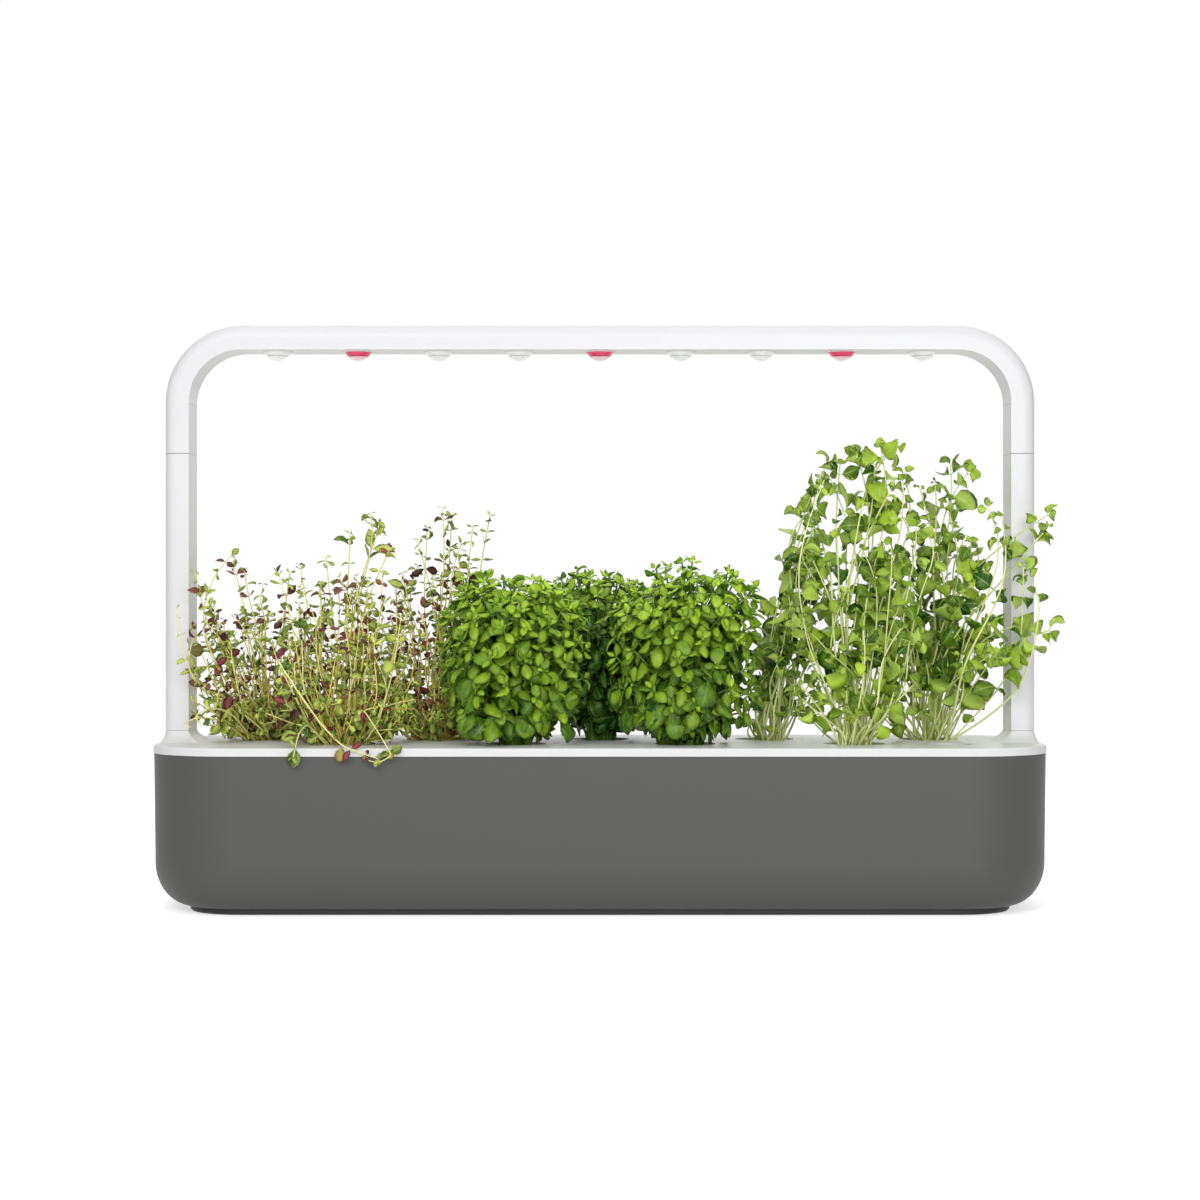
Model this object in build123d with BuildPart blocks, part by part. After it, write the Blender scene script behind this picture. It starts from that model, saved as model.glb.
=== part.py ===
"""Countertop hydroponic garden: a water tank, a planting lid, nine lift-out pots, and a lamp arch on two arms.

Units are millimetres. The origin is on the table under the middle of the tank, +Z up, +X to the right
along the tank and -Y towards the front. Each sub-part is written to parts/ as its own STEP file.
"""

import os
from math import cos, radians, sin

from build123d import *

os.makedirs("parts", exist_ok=True)

# ---- driving dimensions -------------------------------------------------------------------------------
# foot and tank
FOOT_PAD_RADIUS = 8.0
FOOT_PAD_PROUD = 0.5  # how far the rubber stands below the plinth
FOOT_PAD_SEAT = 1.0  # depth of each pad's pocket
FOOT_PAD_INSET_X = 34.0
FOOT_PAD_INSET_Y = 26.0
PLINTH_THICKNESS = 3.8
PLINTH_EDGE = 1.2
TANK_LENGTH = 607.0
TANK_WIDTH = 184.0
TANK_CORNER = 58.0
TANK_TOP = 107.0  # rim of the tank above the table
TANK_WALL = 2.6
TANK_DRAFT = 0.012  # inward lean of the walls, mm per mm of height
BEND_RISE = 28.0  # height over which the walls sweep under towards the floor
END_BEND_REACH = 24.0  # the two short ends sweep under further than the long sides
SIDE_BEND_REACH = 14.0
# planting lid
LID_OVERHANG = 0.5  # beyond the tank on every side
LID_HEIGHT = 5.4  # visible band above the tank
DECK_THICKNESS = 2.5
LID_RIM_WALL = 3.4
LID_EDGE = 1.2
SKIRT_DEPTH = 8.0
SKIRT_WALL = 1.8
LID_CLEARANCE = 0.4
RIB_THICKNESS = 1.6
RIB_DEPTH = 6.5
# pots
POT_COUNT = 9
POT_END_MARGIN = 71.5  # from the tank's end to the middle of the last pot
POT_ROW_OFFSET = 30.0
POT_MOUTH_RADIUS = 22.5
POT_LIP = 4.5  # width of the flange round the mouth
POT_FLANGE = 1.4
POT_BASE_RADIUS = 16.0
POT_DEPTH = 60.0
POT_WALL = 1.6
POT_SLOTS = 6
POT_SLOT_WIDTH = 5.0
POT_SLOT_LENGTH = 30.0
POT_CLEARANCE = 0.5
SLEEVE_DEPTH = 6.0
SLEEVE_WALL = 1.6
PLUG_CLEARANCE = 0.3
PLUG_RECESS = 2.5  # soil sits this far below the flange
WICK_WIDTH = 18.0
WICK_THICKNESS = 2.4
WICK_FLOOR_GAP = 8.0
# float well
WELL_END_MARGIN = 65.5  # from the tank's end to the middle of the well
WELL_Y = -38.0
WELL_RADIUS = 17.0
WELL_WALL = 1.6
WELL_LIP = 4.0
WELL_FLANGE = 1.4
WELL_FLOOR_GAP = 5.0
WELL_DRAIN_RADIUS = 8.5
WELL_SLOTS = 5
WELL_SLOT_WIDTH = 7.0
WELL_SLOT_LOW = 4.0  # the slots start this far above the well's floor
WELL_SLOT_HIGH = 8.0  # and end this far below the pot sleeves' level
FLOAT_HEIGHT = 18.0
FLOAT_CLEARANCE = 0.6
FLOAT_EDGE = 4.0
# lamp arch and arms: one flattened tube section all the way round
OVERALL_HEIGHT = 400.0
ARCH_INSET = 3.5  # the arch's outer faces stand this far in from the tank's ends
TUBE_WIDTH = 38.0
TUBE_THICKNESS = 17.0
TUBE_OUTER_ROUND = 8.4
TUBE_INNER_ROUND = 2.8
TUBE_WALL = 2.2
TUBE_LEAST_ROUND = 0.5  # for the corners inside the tube
SEAM_EDGE = 0.35  # small bevel round every end of the tube, which draws the joint line
ARCH_BEND = 53.0  # outer radius of the two corners
NECK_HEIGHT = 8.2  # socket neck above the deck
NECK_FLARE = 9.0  # how far the neck spreads onto the deck
LAMP_LEG_LENGTH = 35.6  # straight leg of the lamp between its bend and the arm below
SOCKET_FLOOR = 2.0
FOOT_SPIGOT_GAP = 0.6  # the arms' feet stay this far above the tank's rim, inside the lid's sockets
SPIGOT_LENGTH = 19.9
SPIGOT_GRIP = 14.0
SPIGOT_CLEARANCE = 0.3
SPIGOT_LEAD_IN = 0.6
CHANNEL_LIP = 3.8  # left on each side of the slot that the covers close
COVER_CLEARANCE = 0.2
COVER_THICKNESS = 1.8
COVER_LEG = 4.0
COVER_LEG_THICKNESS = 1.2
COVER_LEG_GAP = 2.0  # between a cover's clip legs and the spigots
COVER_START = 0.8  # the lamp's first cover starts this far below the bend
COVER_JOINT_PITCHES = 2.5  # its joints stand this many lens pitches from the middle
# lamp electrics
LENS_COUNT = 9
LENS_END_MARGIN = 76.0  # from the arch's outer face to the middle of the last lens
LENS_RADIUS = 9.3
LENS_DROP = 6.4  # how far a lens stands below the arch
LENS_FLANGE = 1.7  # width of the collar that holds the lens behind its cover
LENS_WALL = 1.6
LENS_CLEARANCE = 0.2
BEZEL_WIDTH = 1.3  # raised ring round each lens hole
BEZEL_PROUD = 0.5
RED_LENS_STEP = 3  # every third lens is red
BOARD_THICKNESS = 1.6
BOARD_SIDE_GAP = 1.8  # to the covers' clip legs
BOARD_OVERHANG = 11.0  # beyond the middle of the last lens
CHIP_SIZE = 3.5
CHIP_HEIGHT = 0.9
LENS_SEAT = 3.2  # cover to board, filled by the lens collar
SCREW_RADIUS = 1.2
SCREW_HEAD_RADIUS = 2.3
SCREW_HEAD = 1.5
SCREW_LENGTH = 6.0  # into the boss
SCREW_TIP_GAP = 0.5
SCREW_BOSS_WALL = 1.7
BOSS_PITCHES = (-3.5, -1.5, 1.5, 3.5)  # in lens pitches from the middle
ROD_RADIUS = 1.5
ROD_OFFSET = 8.0
ROD_CLEARANCE = 0.05
CONTACT_RADIUS = 2.7
CONTACT_HEAD = 1.2
TERMINAL_LENGTH = 8.0
TERMINAL_WIDTH = 24.0
TERMINAL_HEIGHT = 2.0
LEAD_RADIUS = 0.8
LEAD_BEND = 4.0
LEAD_OUT = 6.0  # straight run out of the inlet, and the step to the tank's end after it
LEAD_DROP = 14.0  # where the lead is down at the terminal's height, behind the inlet
LEAD_TURN = 20.0  # its last turn starts this far from the terminal's middle
TIMER_CHIP_LENGTH = 5.0
TIMER_CHIP_WIDTH = 4.0
TIMER_CHIP_HEIGHT = 1.2
TIMER_CHIP_GAP = 3.5
# power inlet
INLET_END_MARGIN = 78.5  # from the tank's end to the middle of the inlet
INLET_TAB_WIDTH = 15.0
INLET_TAB_ROUND = 1.0
INLET_TAB_DROP = 12.6
INLET_TAB_DEPTH = 14.0
INLET_RADIUS = 3.9
INLET_LENGTH = 12.0
INLET_BORE_RADIUS = 2.75
INLET_BORE_DEPTH = 9.5
INLET_PIN_RADIUS = 1.0
INLET_CLEARANCE = 0.4
# foliage
FOLIAGE_GAP = 0.6  # between neighbouring plants
FOLIAGE_FOOT_RADIUS = 9.0
SIDE_TUFT_FOOT_RADIUS = 4.0
LAMP_LANE = 44.0  # width kept clear of tall growth under the lamp
LAMP_LANE_GAP = 3.6  # left under the lenses when a pot is lifted out
POT_LIFT = 100.0

# ---- worked-out places --------------------------------------------------------------------------------
tank_floor = FOOT_PAD_PROUD + PLINTH_THICKNESS
inside_floor = tank_floor + TANK_WALL
deck_top = TANK_TOP + LID_HEIGHT
deck_under = deck_top - DECK_THICKNESS
lid_length = TANK_LENGTH + 2 * LID_OVERHANG
lid_width = TANK_WIDTH + 2 * LID_OVERHANG
lid_corner = TANK_CORNER + LID_OVERHANG
neck_top = deck_top + NECK_HEIGHT
arch_span = TANK_LENGTH - 2 * ARCH_INSET
tube_centre = arch_span / 2 - TUBE_THICKNESS / 2
arch_under = OVERALL_HEIGHT - TUBE_THICKNESS
bend_start = OVERALL_HEIGHT - ARCH_BEND
arm_top = bend_start - LAMP_LEG_LENGTH
arm_length = arm_top - neck_top
foot_spigot_length = neck_top - TANK_TOP - FOOT_SPIGOT_GAP
cover_start = bend_start - COVER_START
board_under = arch_under + COVER_THICKNESS + LENS_SEAT
lamp_lane_floor = arch_under - LENS_DROP - LAMP_LANE_GAP - POT_LIFT
pot_pitch = (TANK_LENGTH - 2 * POT_END_MARGIN) / (POT_COUNT - 1)
pot_places = [
    ((k - (POT_COUNT - 1) / 2) * pot_pitch, POT_ROW_OFFSET if k % 2 == 0 else -POT_ROW_OFFSET)
    for k in range(POT_COUNT)
]
pot_flange_radius = POT_MOUTH_RADIUS + POT_LIP
well_x = TANK_LENGTH / 2 - WELL_END_MARGIN
well_flange_radius = WELL_RADIUS + WELL_LIP
inlet_x = TANK_LENGTH / 2 - INLET_END_MARGIN
lens_pitch = (arch_span - 2 * LENS_END_MARGIN) / (LENS_COUNT - 1)
lens_places = [(k - (LENS_COUNT - 1) / 2) * lens_pitch for k in range(LENS_COUNT)]
red_lens_places = [x for k, x in enumerate(lens_places) if k % RED_LENS_STEP == 1]
clear_lens_places = [x for k, x in enumerate(lens_places) if k % RED_LENS_STEP != 1]
boss_places = [pitches * lens_pitch for pitches in BOSS_PITCHES]
cover_joint_x = COVER_JOINT_PITCHES * lens_pitch
channel_width = TUBE_WIDTH - 2 * CHANNEL_LIP
cover_width = channel_width - 2 * COVER_CLEARANCE
board_width = cover_width - 2 * (COVER_LEG_THICKNESS + BOARD_SIDE_GAP)
board_length = (LENS_COUNT - 1) * lens_pitch + 2 * BOARD_OVERHANG


def write(part, name):
    """Labels a finished sub-part and writes its STEP file."""
    part.label = name
    export_step(part, f"parts/{name}.step")


# ---- tank ---------------------------------------------------------------------------------------------
def tank_form(skin):
    """The tank's outer form moved inwards by skin, as one solid up to the rim.

    The walls lean in slightly and sweep under along a quarter ellipse.
    """
    floor = tank_floor + skin
    rise = BEND_RISE - skin

    def section(height, share):
        lean = (TANK_TOP - height) * TANK_DRAFT + skin
        end = lean + (END_BEND_REACH - skin) * share
        side = lean + (SIDE_BEND_REACH - skin) * share
        corner = TANK_CORNER - (end + side) / 2
        with BuildSketch(Plane.XY.offset(height)) as outline:
            RectangleRounded(TANK_LENGTH - 2 * end, TANK_WIDTH - 2 * side, corner)
        return outline.sketch.faces()[0]

    bend_sections = []
    for angle in (90, 80, 68, 55, 41, 27, 13, 0):
        turn = radians(angle)
        bend_sections.append(section(floor + rise * (1 - sin(turn)), 1 - cos(turn)))
    with BuildPart() as form:
        loft(bend_sections)
        loft([bend_sections[-1], section(TANK_TOP, 0.0)], ruled=True)
    return form.part


tank_outside = tank_form(0.0)
tank_inside = tank_form(TANK_WALL)

with BuildPart() as water_tank:
    add(tank_outside)
    add(tank_inside, mode=Mode.SUBTRACT)
    # notch in the rear rim for the power inlet's tab
    with BuildSketch(Plane.XY.offset(TANK_TOP)):
        with Locations((inlet_x, TANK_WIDTH / 2)):
            Rectangle(INLET_TAB_WIDTH + 2 * INLET_CLEARANCE, 4 * TANK_WALL)
    extrude(amount=-(INLET_TAB_DROP + INLET_CLEARANCE), mode=Mode.SUBTRACT)
write(water_tank.part, "water_tank")

# ---- plinth and feet ----------------------------------------------------------------------------------
floor_lean = (TANK_TOP - tank_floor) * TANK_DRAFT
plinth_length = TANK_LENGTH - 2 * (floor_lean + END_BEND_REACH)
plinth_width = TANK_WIDTH - 2 * (floor_lean + SIDE_BEND_REACH)
plinth_corner = TANK_CORNER - floor_lean - (END_BEND_REACH + SIDE_BEND_REACH) / 2
pad_spacing_x = (plinth_length - 2 * FOOT_PAD_INSET_X) / 2
pad_spacing_y = plinth_width - 2 * FOOT_PAD_INSET_Y

with BuildPart() as base_plinth:
    with BuildSketch(Plane.XY.offset(FOOT_PAD_PROUD)):
        RectangleRounded(plinth_length, plinth_width, plinth_corner)
    extrude(amount=PLINTH_THICKNESS)
    chamfer(base_plinth.faces().sort_by(Axis.Z)[0].edges(), PLINTH_EDGE)
    with BuildSketch(Plane.XY.offset(FOOT_PAD_PROUD)):
        with GridLocations(pad_spacing_x, pad_spacing_y, 3, 2):
            Circle(FOOT_PAD_RADIUS)
    extrude(amount=FOOT_PAD_SEAT, mode=Mode.SUBTRACT)
write(base_plinth.part, "base_plinth")

with BuildPart() as rubber_feet:
    with BuildSketch(Plane.XY):
        with GridLocations(pad_spacing_x, pad_spacing_y, 3, 2):
            Circle(FOOT_PAD_RADIUS)
    extrude(amount=FOOT_PAD_PROUD + FOOT_PAD_SEAT)
write(rubber_feet.part, "rubber_feet")

# ---- tube section shared by arms, necks, spigots and arch ---------------------------------------------
def tube_section(plane, skin, outward):
    """The flattened tube's outline moved inwards by skin: well rounded outside, nearly square inside."""
    with BuildSketch(plane) as section:
        Rectangle(TUBE_THICKNESS - 2 * skin, TUBE_WIDTH - 2 * skin)
        corners = section.vertices().sort_by(Axis.X)
        outer, inner = (corners[2:], corners[:2]) if outward > 0 else (corners[:2], corners[2:])
        fillet(outer, max(TUBE_OUTER_ROUND - skin, TUBE_LEAST_ROUND))
        fillet(inner, max(TUBE_INNER_ROUND - skin, TUBE_LEAST_ROUND))
    return section.sketch


def arm_plane(side, height):
    """Cross plane of an arm at a height; side is -1 for the left arm and 1 for the right."""
    return Plane((side * tube_centre, 0, height))


# ---- planting lid -------------------------------------------------------------------------------------
skirt_length = TANK_LENGTH - 2 * (TANK_WALL + LID_CLEARANCE)
skirt_width = TANK_WIDTH - 2 * (TANK_WALL + LID_CLEARANCE)
skirt_corner = TANK_CORNER - TANK_WALL - LID_CLEARANCE
skirt_bottom = TANK_TOP - SKIRT_DEPTH
sleeve_radius = POT_MOUTH_RADIUS + POT_CLEARANCE
socket_depth = foot_spigot_length + CONTACT_HEAD
socket_floor = neck_top - socket_depth
inlet_height = TANK_TOP - INLET_TAB_DROP / 2
inlet_face = TANK_WIDTH / 2
flare_steps = [(0.0, 1.0), (0.22, 0.62), (0.5, 0.25), (0.78, 0.06), (1.0, 0.0)]


def neck_form(side):
    """The socket neck: a concave flare from the deck up to the tube's own section."""
    room = lid_length / 2 - LID_EDGE - arch_span / 2
    sections = []
    for rise, spread in flare_steps:
        inner_spread = spread * NECK_FLARE
        outer_spread = spread * room
        shift = side * (outer_spread - inner_spread) / 2
        plane = Plane((side * tube_centre + shift, 0, deck_top + rise * NECK_HEIGHT))
        with BuildSketch(plane) as level:
            Rectangle(TUBE_THICKNESS + inner_spread + outer_spread, TUBE_WIDTH + 2 * inner_spread)
            corners = level.vertices().sort_by(Axis.X)
            outer, inner = (corners[2:], corners[:2]) if side > 0 else (corners[:2], corners[2:])
            fillet(outer, TUBE_OUTER_ROUND + spread * NECK_FLARE / 2)
            fillet(inner, TUBE_INNER_ROUND + inner_spread)
        sections.append(level.sketch.faces()[0])
    with BuildPart() as neck:
        loft(sections)
        chamfer(neck.faces().sort_by(Axis.Z)[-1].edges(), SEAM_EDGE)
    return neck.part


necks = {side: neck_form(side) for side in (-1, 1)}
socket_outsides = {side: tube_section(arm_plane(side, deck_under), 0.0, side) for side in (-1, 1)}
socket_insides = {side: tube_section(arm_plane(side, neck_top), TUBE_WALL, side) for side in (-1, 1)}

with BuildPart() as planter_lid:
    with BuildSketch(Plane.XY.offset(TANK_TOP)):
        RectangleRounded(lid_length, lid_width, lid_corner)
    extrude(amount=LID_HEIGHT)
    fillet(planter_lid.faces().sort_by(Axis.Z)[-1].edges(), LID_EDGE)
    with BuildSketch(Plane.XY.offset(TANK_TOP)):
        RectangleRounded(
            lid_length - 2 * LID_RIM_WALL, lid_width - 2 * LID_RIM_WALL, lid_corner - LID_RIM_WALL
        )
    extrude(amount=LID_HEIGHT - DECK_THICKNESS, mode=Mode.SUBTRACT)
    # skirt that drops inside the tank
    with BuildSketch(Plane.XY.offset(skirt_bottom)):
        RectangleRounded(skirt_length, skirt_width, skirt_corner)
        RectangleRounded(
            skirt_length - 2 * SKIRT_WALL,
            skirt_width - 2 * SKIRT_WALL,
            skirt_corner - SKIRT_WALL,
            mode=Mode.SUBTRACT,
        )
    extrude(amount=deck_under - skirt_bottom)
    # ribs under the deck: one lengthwise, the rest across, clear of the pot sleeves
    with BuildSketch(Plane.XY.offset(deck_under)):
        Rectangle(2 * (tube_centre - TUBE_THICKNESS / 2), RIB_THICKNESS)
        rib_reach = skirt_width / 2 - SKIRT_WALL / 2
        for place_x, place_y in pot_places[1:-1]:
            with Locations((place_x, -rib_reach / 2 if place_y > 0 else rib_reach / 2)):
                Rectangle(RIB_THICKNESS, rib_reach)
    extrude(amount=-RIB_DEPTH)
    # sleeves, then the pot holes and their flange seats
    with BuildSketch(Plane.XY.offset(deck_under)):
        with Locations(*pot_places):
            Circle(sleeve_radius + SLEEVE_WALL)
    extrude(amount=-SLEEVE_DEPTH)
    with BuildSketch(Plane.XY.offset(deck_top)):
        with Locations(*pot_places):
            Circle(sleeve_radius)
        with Locations((well_x, WELL_Y)):
            Circle(WELL_RADIUS + POT_CLEARANCE / 2)
    extrude(amount=-(DECK_THICKNESS + SLEEVE_DEPTH), mode=Mode.SUBTRACT)
    with BuildSketch(Plane.XY.offset(deck_top)):
        with Locations(*pot_places):
            Circle(pot_flange_radius + POT_CLEARANCE)
        with Locations((well_x, WELL_Y)):
            Circle(well_flange_radius + POT_CLEARANCE / 2)
    extrude(amount=-POT_FLANGE, mode=Mode.SUBTRACT)
    # sockets for the arms
    for side in (-1, 1):
        add(necks[side])
        extrude(socket_outsides[side], amount=-(deck_under - socket_floor + SOCKET_FLOOR))
        extrude(socket_insides[side], amount=-socket_depth, mode=Mode.SUBTRACT)
    with BuildSketch(Plane.XY.offset(socket_floor)):
        with Locations((tube_centre, ROD_OFFSET), (tube_centre, -ROD_OFFSET)):
            Circle(ROD_RADIUS + ROD_CLEARANCE)
    extrude(amount=-SOCKET_FLOOR, mode=Mode.SUBTRACT)
    # tab that carries the power inlet through the tank's notch
    with BuildSketch(Plane.XY.offset(TANK_TOP - INLET_TAB_DROP)):
        with Locations((inlet_x, inlet_face - INLET_TAB_DEPTH / 2)):
            RectangleRounded(INLET_TAB_WIDTH, INLET_TAB_DEPTH, INLET_TAB_ROUND)
    extrude(amount=deck_under - TANK_TOP + INLET_TAB_DROP)
    with BuildSketch(Plane((inlet_x, inlet_face, inlet_height), z_dir=(0, 1, 0))):
        Circle(INLET_RADIUS + ROD_CLEARANCE)
    extrude(amount=-INLET_TAB_DEPTH, mode=Mode.SUBTRACT)
write(planter_lid.part, "planter_lid")

# ---- pots, growing pods -------------------------------------------------------------------------------
pot_bottom = deck_top - POT_DEPTH
pot_slot_middle = pot_bottom + POT_DEPTH / 2
plug_top = deck_top - PLUG_RECESS
plug_bottom = pot_bottom + POT_WALL + PLUG_CLEARANCE


def pot_radius(height):
    """Outer radius of a pot's tapered wall at a height."""
    share = (height - pot_bottom) / (deck_top - POT_FLANGE - pot_bottom)
    return POT_BASE_RADIUS + share * (POT_MOUTH_RADIUS - POT_BASE_RADIUS)


def upright_plane(x, y):
    """A plane through the vertical line at x, y: its own x runs outwards and its own y up."""
    return Plane(origin=(x, y, 0), x_dir=(1, 0, 0), z_dir=(0, -1, 0))


def pot(x, y):
    """A net pot: flanged, tapered, slotted down the side, with a slit in its base for the wick."""
    flange_under = deck_top - POT_FLANGE
    inner_mouth = pot_radius(flange_under) - POT_WALL
    with BuildPart() as body:
        with BuildSketch(upright_plane(x, y)):
            with BuildLine():
                Polyline(
                    (0, pot_bottom),
                    (POT_BASE_RADIUS, pot_bottom),
                    (pot_radius(flange_under), flange_under),
                    (pot_flange_radius, flange_under),
                    (pot_flange_radius, deck_top),
                    (inner_mouth, deck_top),
                    (POT_BASE_RADIUS - POT_WALL, pot_bottom + POT_WALL),
                    (0, pot_bottom + POT_WALL),
                    close=True,
                )
            make_face()
        revolve(axis=Axis((x, y, 0), (0, 0, 1)))
        with Locations((x, y, pot_slot_middle)):
            with PolarLocations(POT_MOUTH_RADIUS, POT_SLOTS):
                Box(POT_MOUTH_RADIUS, POT_SLOT_WIDTH, POT_SLOT_LENGTH, mode=Mode.SUBTRACT)
        with BuildSketch(Plane((x, y, pot_bottom))):
            Rectangle(WICK_WIDTH + 2 * PLUG_CLEARANCE, WICK_THICKNESS + 2 * PLUG_CLEARANCE)
        extrude(amount=POT_WALL, mode=Mode.SUBTRACT)
    return body.part


def growing_pod(x, y):
    """The soil plug inside a pot, with the felt wick that hangs from it into the water."""
    top_radius = pot_radius(plug_top) - POT_WALL - PLUG_CLEARANCE
    bottom_radius = pot_radius(plug_bottom) - POT_WALL - PLUG_CLEARANCE
    with BuildPart() as pod:
        with BuildSketch(upright_plane(x, y)):
            with BuildLine():
                Polyline(
                    (0, plug_bottom),
                    (bottom_radius, plug_bottom),
                    (top_radius, plug_top),
                    (0, plug_top),
                    close=True,
                )
            make_face()
        revolve(axis=Axis((x, y, 0), (0, 0, 1)))
        with BuildSketch(Plane((x, y, plug_bottom))):
            Rectangle(WICK_WIDTH, WICK_THICKNESS)
        extrude(amount=-(plug_bottom - inside_floor - WICK_FLOOR_GAP))
    return pod.part


for number, (place_x, place_y) in enumerate(pot_places, start=1):
    write(pot(place_x, place_y), f"pot_{number}")
    write(growing_pod(place_x, place_y), f"growing_pod_{number}")

# ---- foliage: one soft clump per pot, kept inside its own share of the deck ----------------------------
# Each plant is a list of tufts: x and y from its pot, widest radius, and the heights of its widest part
# and its top above the soil.
# The first tuft grows from the soil; the others branch off it, over the rim or past the arms and the lamp.
plants = {
    "thyme_1": [(0, 0, 48, 40, 102), (-25, -40, 22, 50, 98), (-32, -77, 28, 40, 94), (-14, 12, 24, 62, 112)],
    "thyme_2": [(0, 0, 56, 54, 112), (16, -14, 26, 80, 128), (-20, -12, 24, 72, 118)],
    "thyme_3": [(0, 0, 54, 60, 124), (10, 12, 26, 92, 144), (-16, 10, 24, 86, 134)],
    "basil_1": [(0, 0, 55, 66, 118), (-22, -12, 24, 90, 122), (20, -16, 24, 82, 117)],
    "basil_2": [(0, 0, 50, 76, 122), (-14, 12, 22, 92, 126)],
    "basil_3": [(0, 0, 56, 66, 121), (-4, -12, 26, 98, 133), (28, -8, 26, 90, 124)],
    "oregano_1": [(0, 0, 48, 60, 114), (24, 6, 28, 112, 172)],
    "oregano_2": [(0, 0, 54, 66, 150), (18, -18, 30, 130, 211), (-16, -14, 24, 124, 192)],
    "oregano_3": [
        (0, 0, 50, 72, 140),
        (6, 20, 30, 122, 196),
        (-12, 12, 26, 106, 176),
        (25, -40, 22, 82, 152),
        (34, -76, 28, 90, 166),
    ],
}


def tuft(x, y, radius, foot_radius, middle, top, foot):
    """A turned tuft: narrow at its foot, widest at middle, domed to its top."""
    with BuildPart() as form:
        with BuildSketch(upright_plane(x, y)):
            with BuildLine():
                Line((0, foot), (foot_radius, foot))
                Spline(
                    (foot_radius, foot),
                    (0.76 * radius, foot + 0.3 * (middle - foot)),
                    (radius, middle),
                    tangents=((0.88, 0.47), (0, 1)),
                )
                Spline(
                    (radius, middle),
                    (0.76 * radius, middle + 0.7 * (top - middle)),
                    (0, top),
                    tangents=((0, 1), (-1, 0)),
                )
                Line((0, top), (0, foot))
            make_face()
        revolve(axis=Axis((x, y, 0), (0, 0, 1)))
    return form.part


def plant(x, y, tufts):
    """A plant's tufts joined, cut back from the neighbours' cells and from the lane under the lamp."""
    forms = []
    for step_x, step_y, radius, middle, top in tufts:
        if forms:
            foot_radius, foot = SIDE_TUFT_FOOT_RADIUS, middle - 1.2 * radius
        else:
            foot_radius, foot = FOLIAGE_FOOT_RADIUS, 0
        heights = [plug_top + height for height in (middle, top, foot)]
        forms.append(tuft(x + step_x, y + step_y, radius, foot_radius, *heights))
    with BuildPart() as clump:
        add(forms)
        for other_x, other_y in pot_places:
            away = Vector(other_x - x, other_y - y, 0)
            if 0 < away.length < 3 * pot_pitch:
                edge = Vector(x, y, 0) + away.normalized() * (away.length - FOLIAGE_GAP) / 2
                split(bisect_by=Plane(origin=edge, z_dir=away), keep=Keep.BOTTOM)
        with Locations((x, 0, lamp_lane_floor)):
            lane = (4 * pot_pitch, LAMP_LANE, OVERALL_HEIGHT)
            Box(*lane, align=(Align.CENTER, Align.CENTER, Align.MIN), mode=Mode.SUBTRACT)
    return clump.part


for (name, tufts), (place_x, place_y) in zip(plants.items(), pot_places):
    write(plant(place_x, place_y, tufts), name)

# ---- float well and float -----------------------------------------------------------------------------
well_bottom = inside_floor + WELL_FLOOR_GAP
float_rest = well_bottom + WELL_WALL
well_window = deck_under - SLEEVE_DEPTH - float_rest - WELL_SLOT_LOW - WELL_SLOT_HIGH

with BuildPart() as float_well:
    with BuildSketch(Plane((well_x, WELL_Y, well_bottom))):
        Circle(WELL_RADIUS)
    extrude(amount=deck_top - well_bottom)
    with BuildSketch(Plane((well_x, WELL_Y, deck_top - WELL_FLANGE))):
        Circle(well_flange_radius)
    extrude(amount=WELL_FLANGE)
    with BuildSketch(Plane((well_x, WELL_Y, float_rest))):
        Circle(WELL_RADIUS - WELL_WALL)
    extrude(amount=deck_top - float_rest, mode=Mode.SUBTRACT)
    with BuildSketch(Plane((well_x, WELL_Y, well_bottom))):
        Circle(WELL_DRAIN_RADIUS)
    extrude(amount=WELL_WALL, mode=Mode.SUBTRACT)
    with Locations((well_x, WELL_Y, float_rest + WELL_SLOT_LOW + well_window / 2)):
        with PolarLocations(WELL_RADIUS, WELL_SLOTS):
            Box(WELL_RADIUS / 2, WELL_SLOT_WIDTH, well_window, mode=Mode.SUBTRACT)
write(float_well.part, "float_well")

with BuildPart() as float_puck:
    with BuildSketch(Plane((well_x, WELL_Y, float_rest))):
        Circle(WELL_RADIUS - WELL_WALL - FLOAT_CLEARANCE)
    extrude(amount=FLOAT_HEIGHT)
    fillet(float_puck.faces().sort_by(Axis.Z)[-1].edges(), FLOAT_EDGE)
    fillet(float_puck.faces().sort_by(Axis.Z)[0].edges(), FLOAT_EDGE / 2)
write(float_puck.part, "float")

# ---- power inlet and the contacts in the right socket -------------------------------------------------
with BuildPart() as dc_inlet:
    with BuildSketch(Plane((inlet_x, inlet_face, inlet_height), z_dir=(0, 1, 0))):
        Circle(INLET_RADIUS)
    extrude(amount=-INLET_LENGTH)
    with BuildSketch(Plane((inlet_x, inlet_face, inlet_height), z_dir=(0, 1, 0))):
        Circle(INLET_BORE_RADIUS)
        Circle(INLET_PIN_RADIUS, mode=Mode.SUBTRACT)
    extrude(amount=-INLET_BORE_DEPTH, mode=Mode.SUBTRACT)
write(dc_inlet.part, "dc_inlet")

terminal_top = socket_floor - SOCKET_FLOOR

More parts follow.
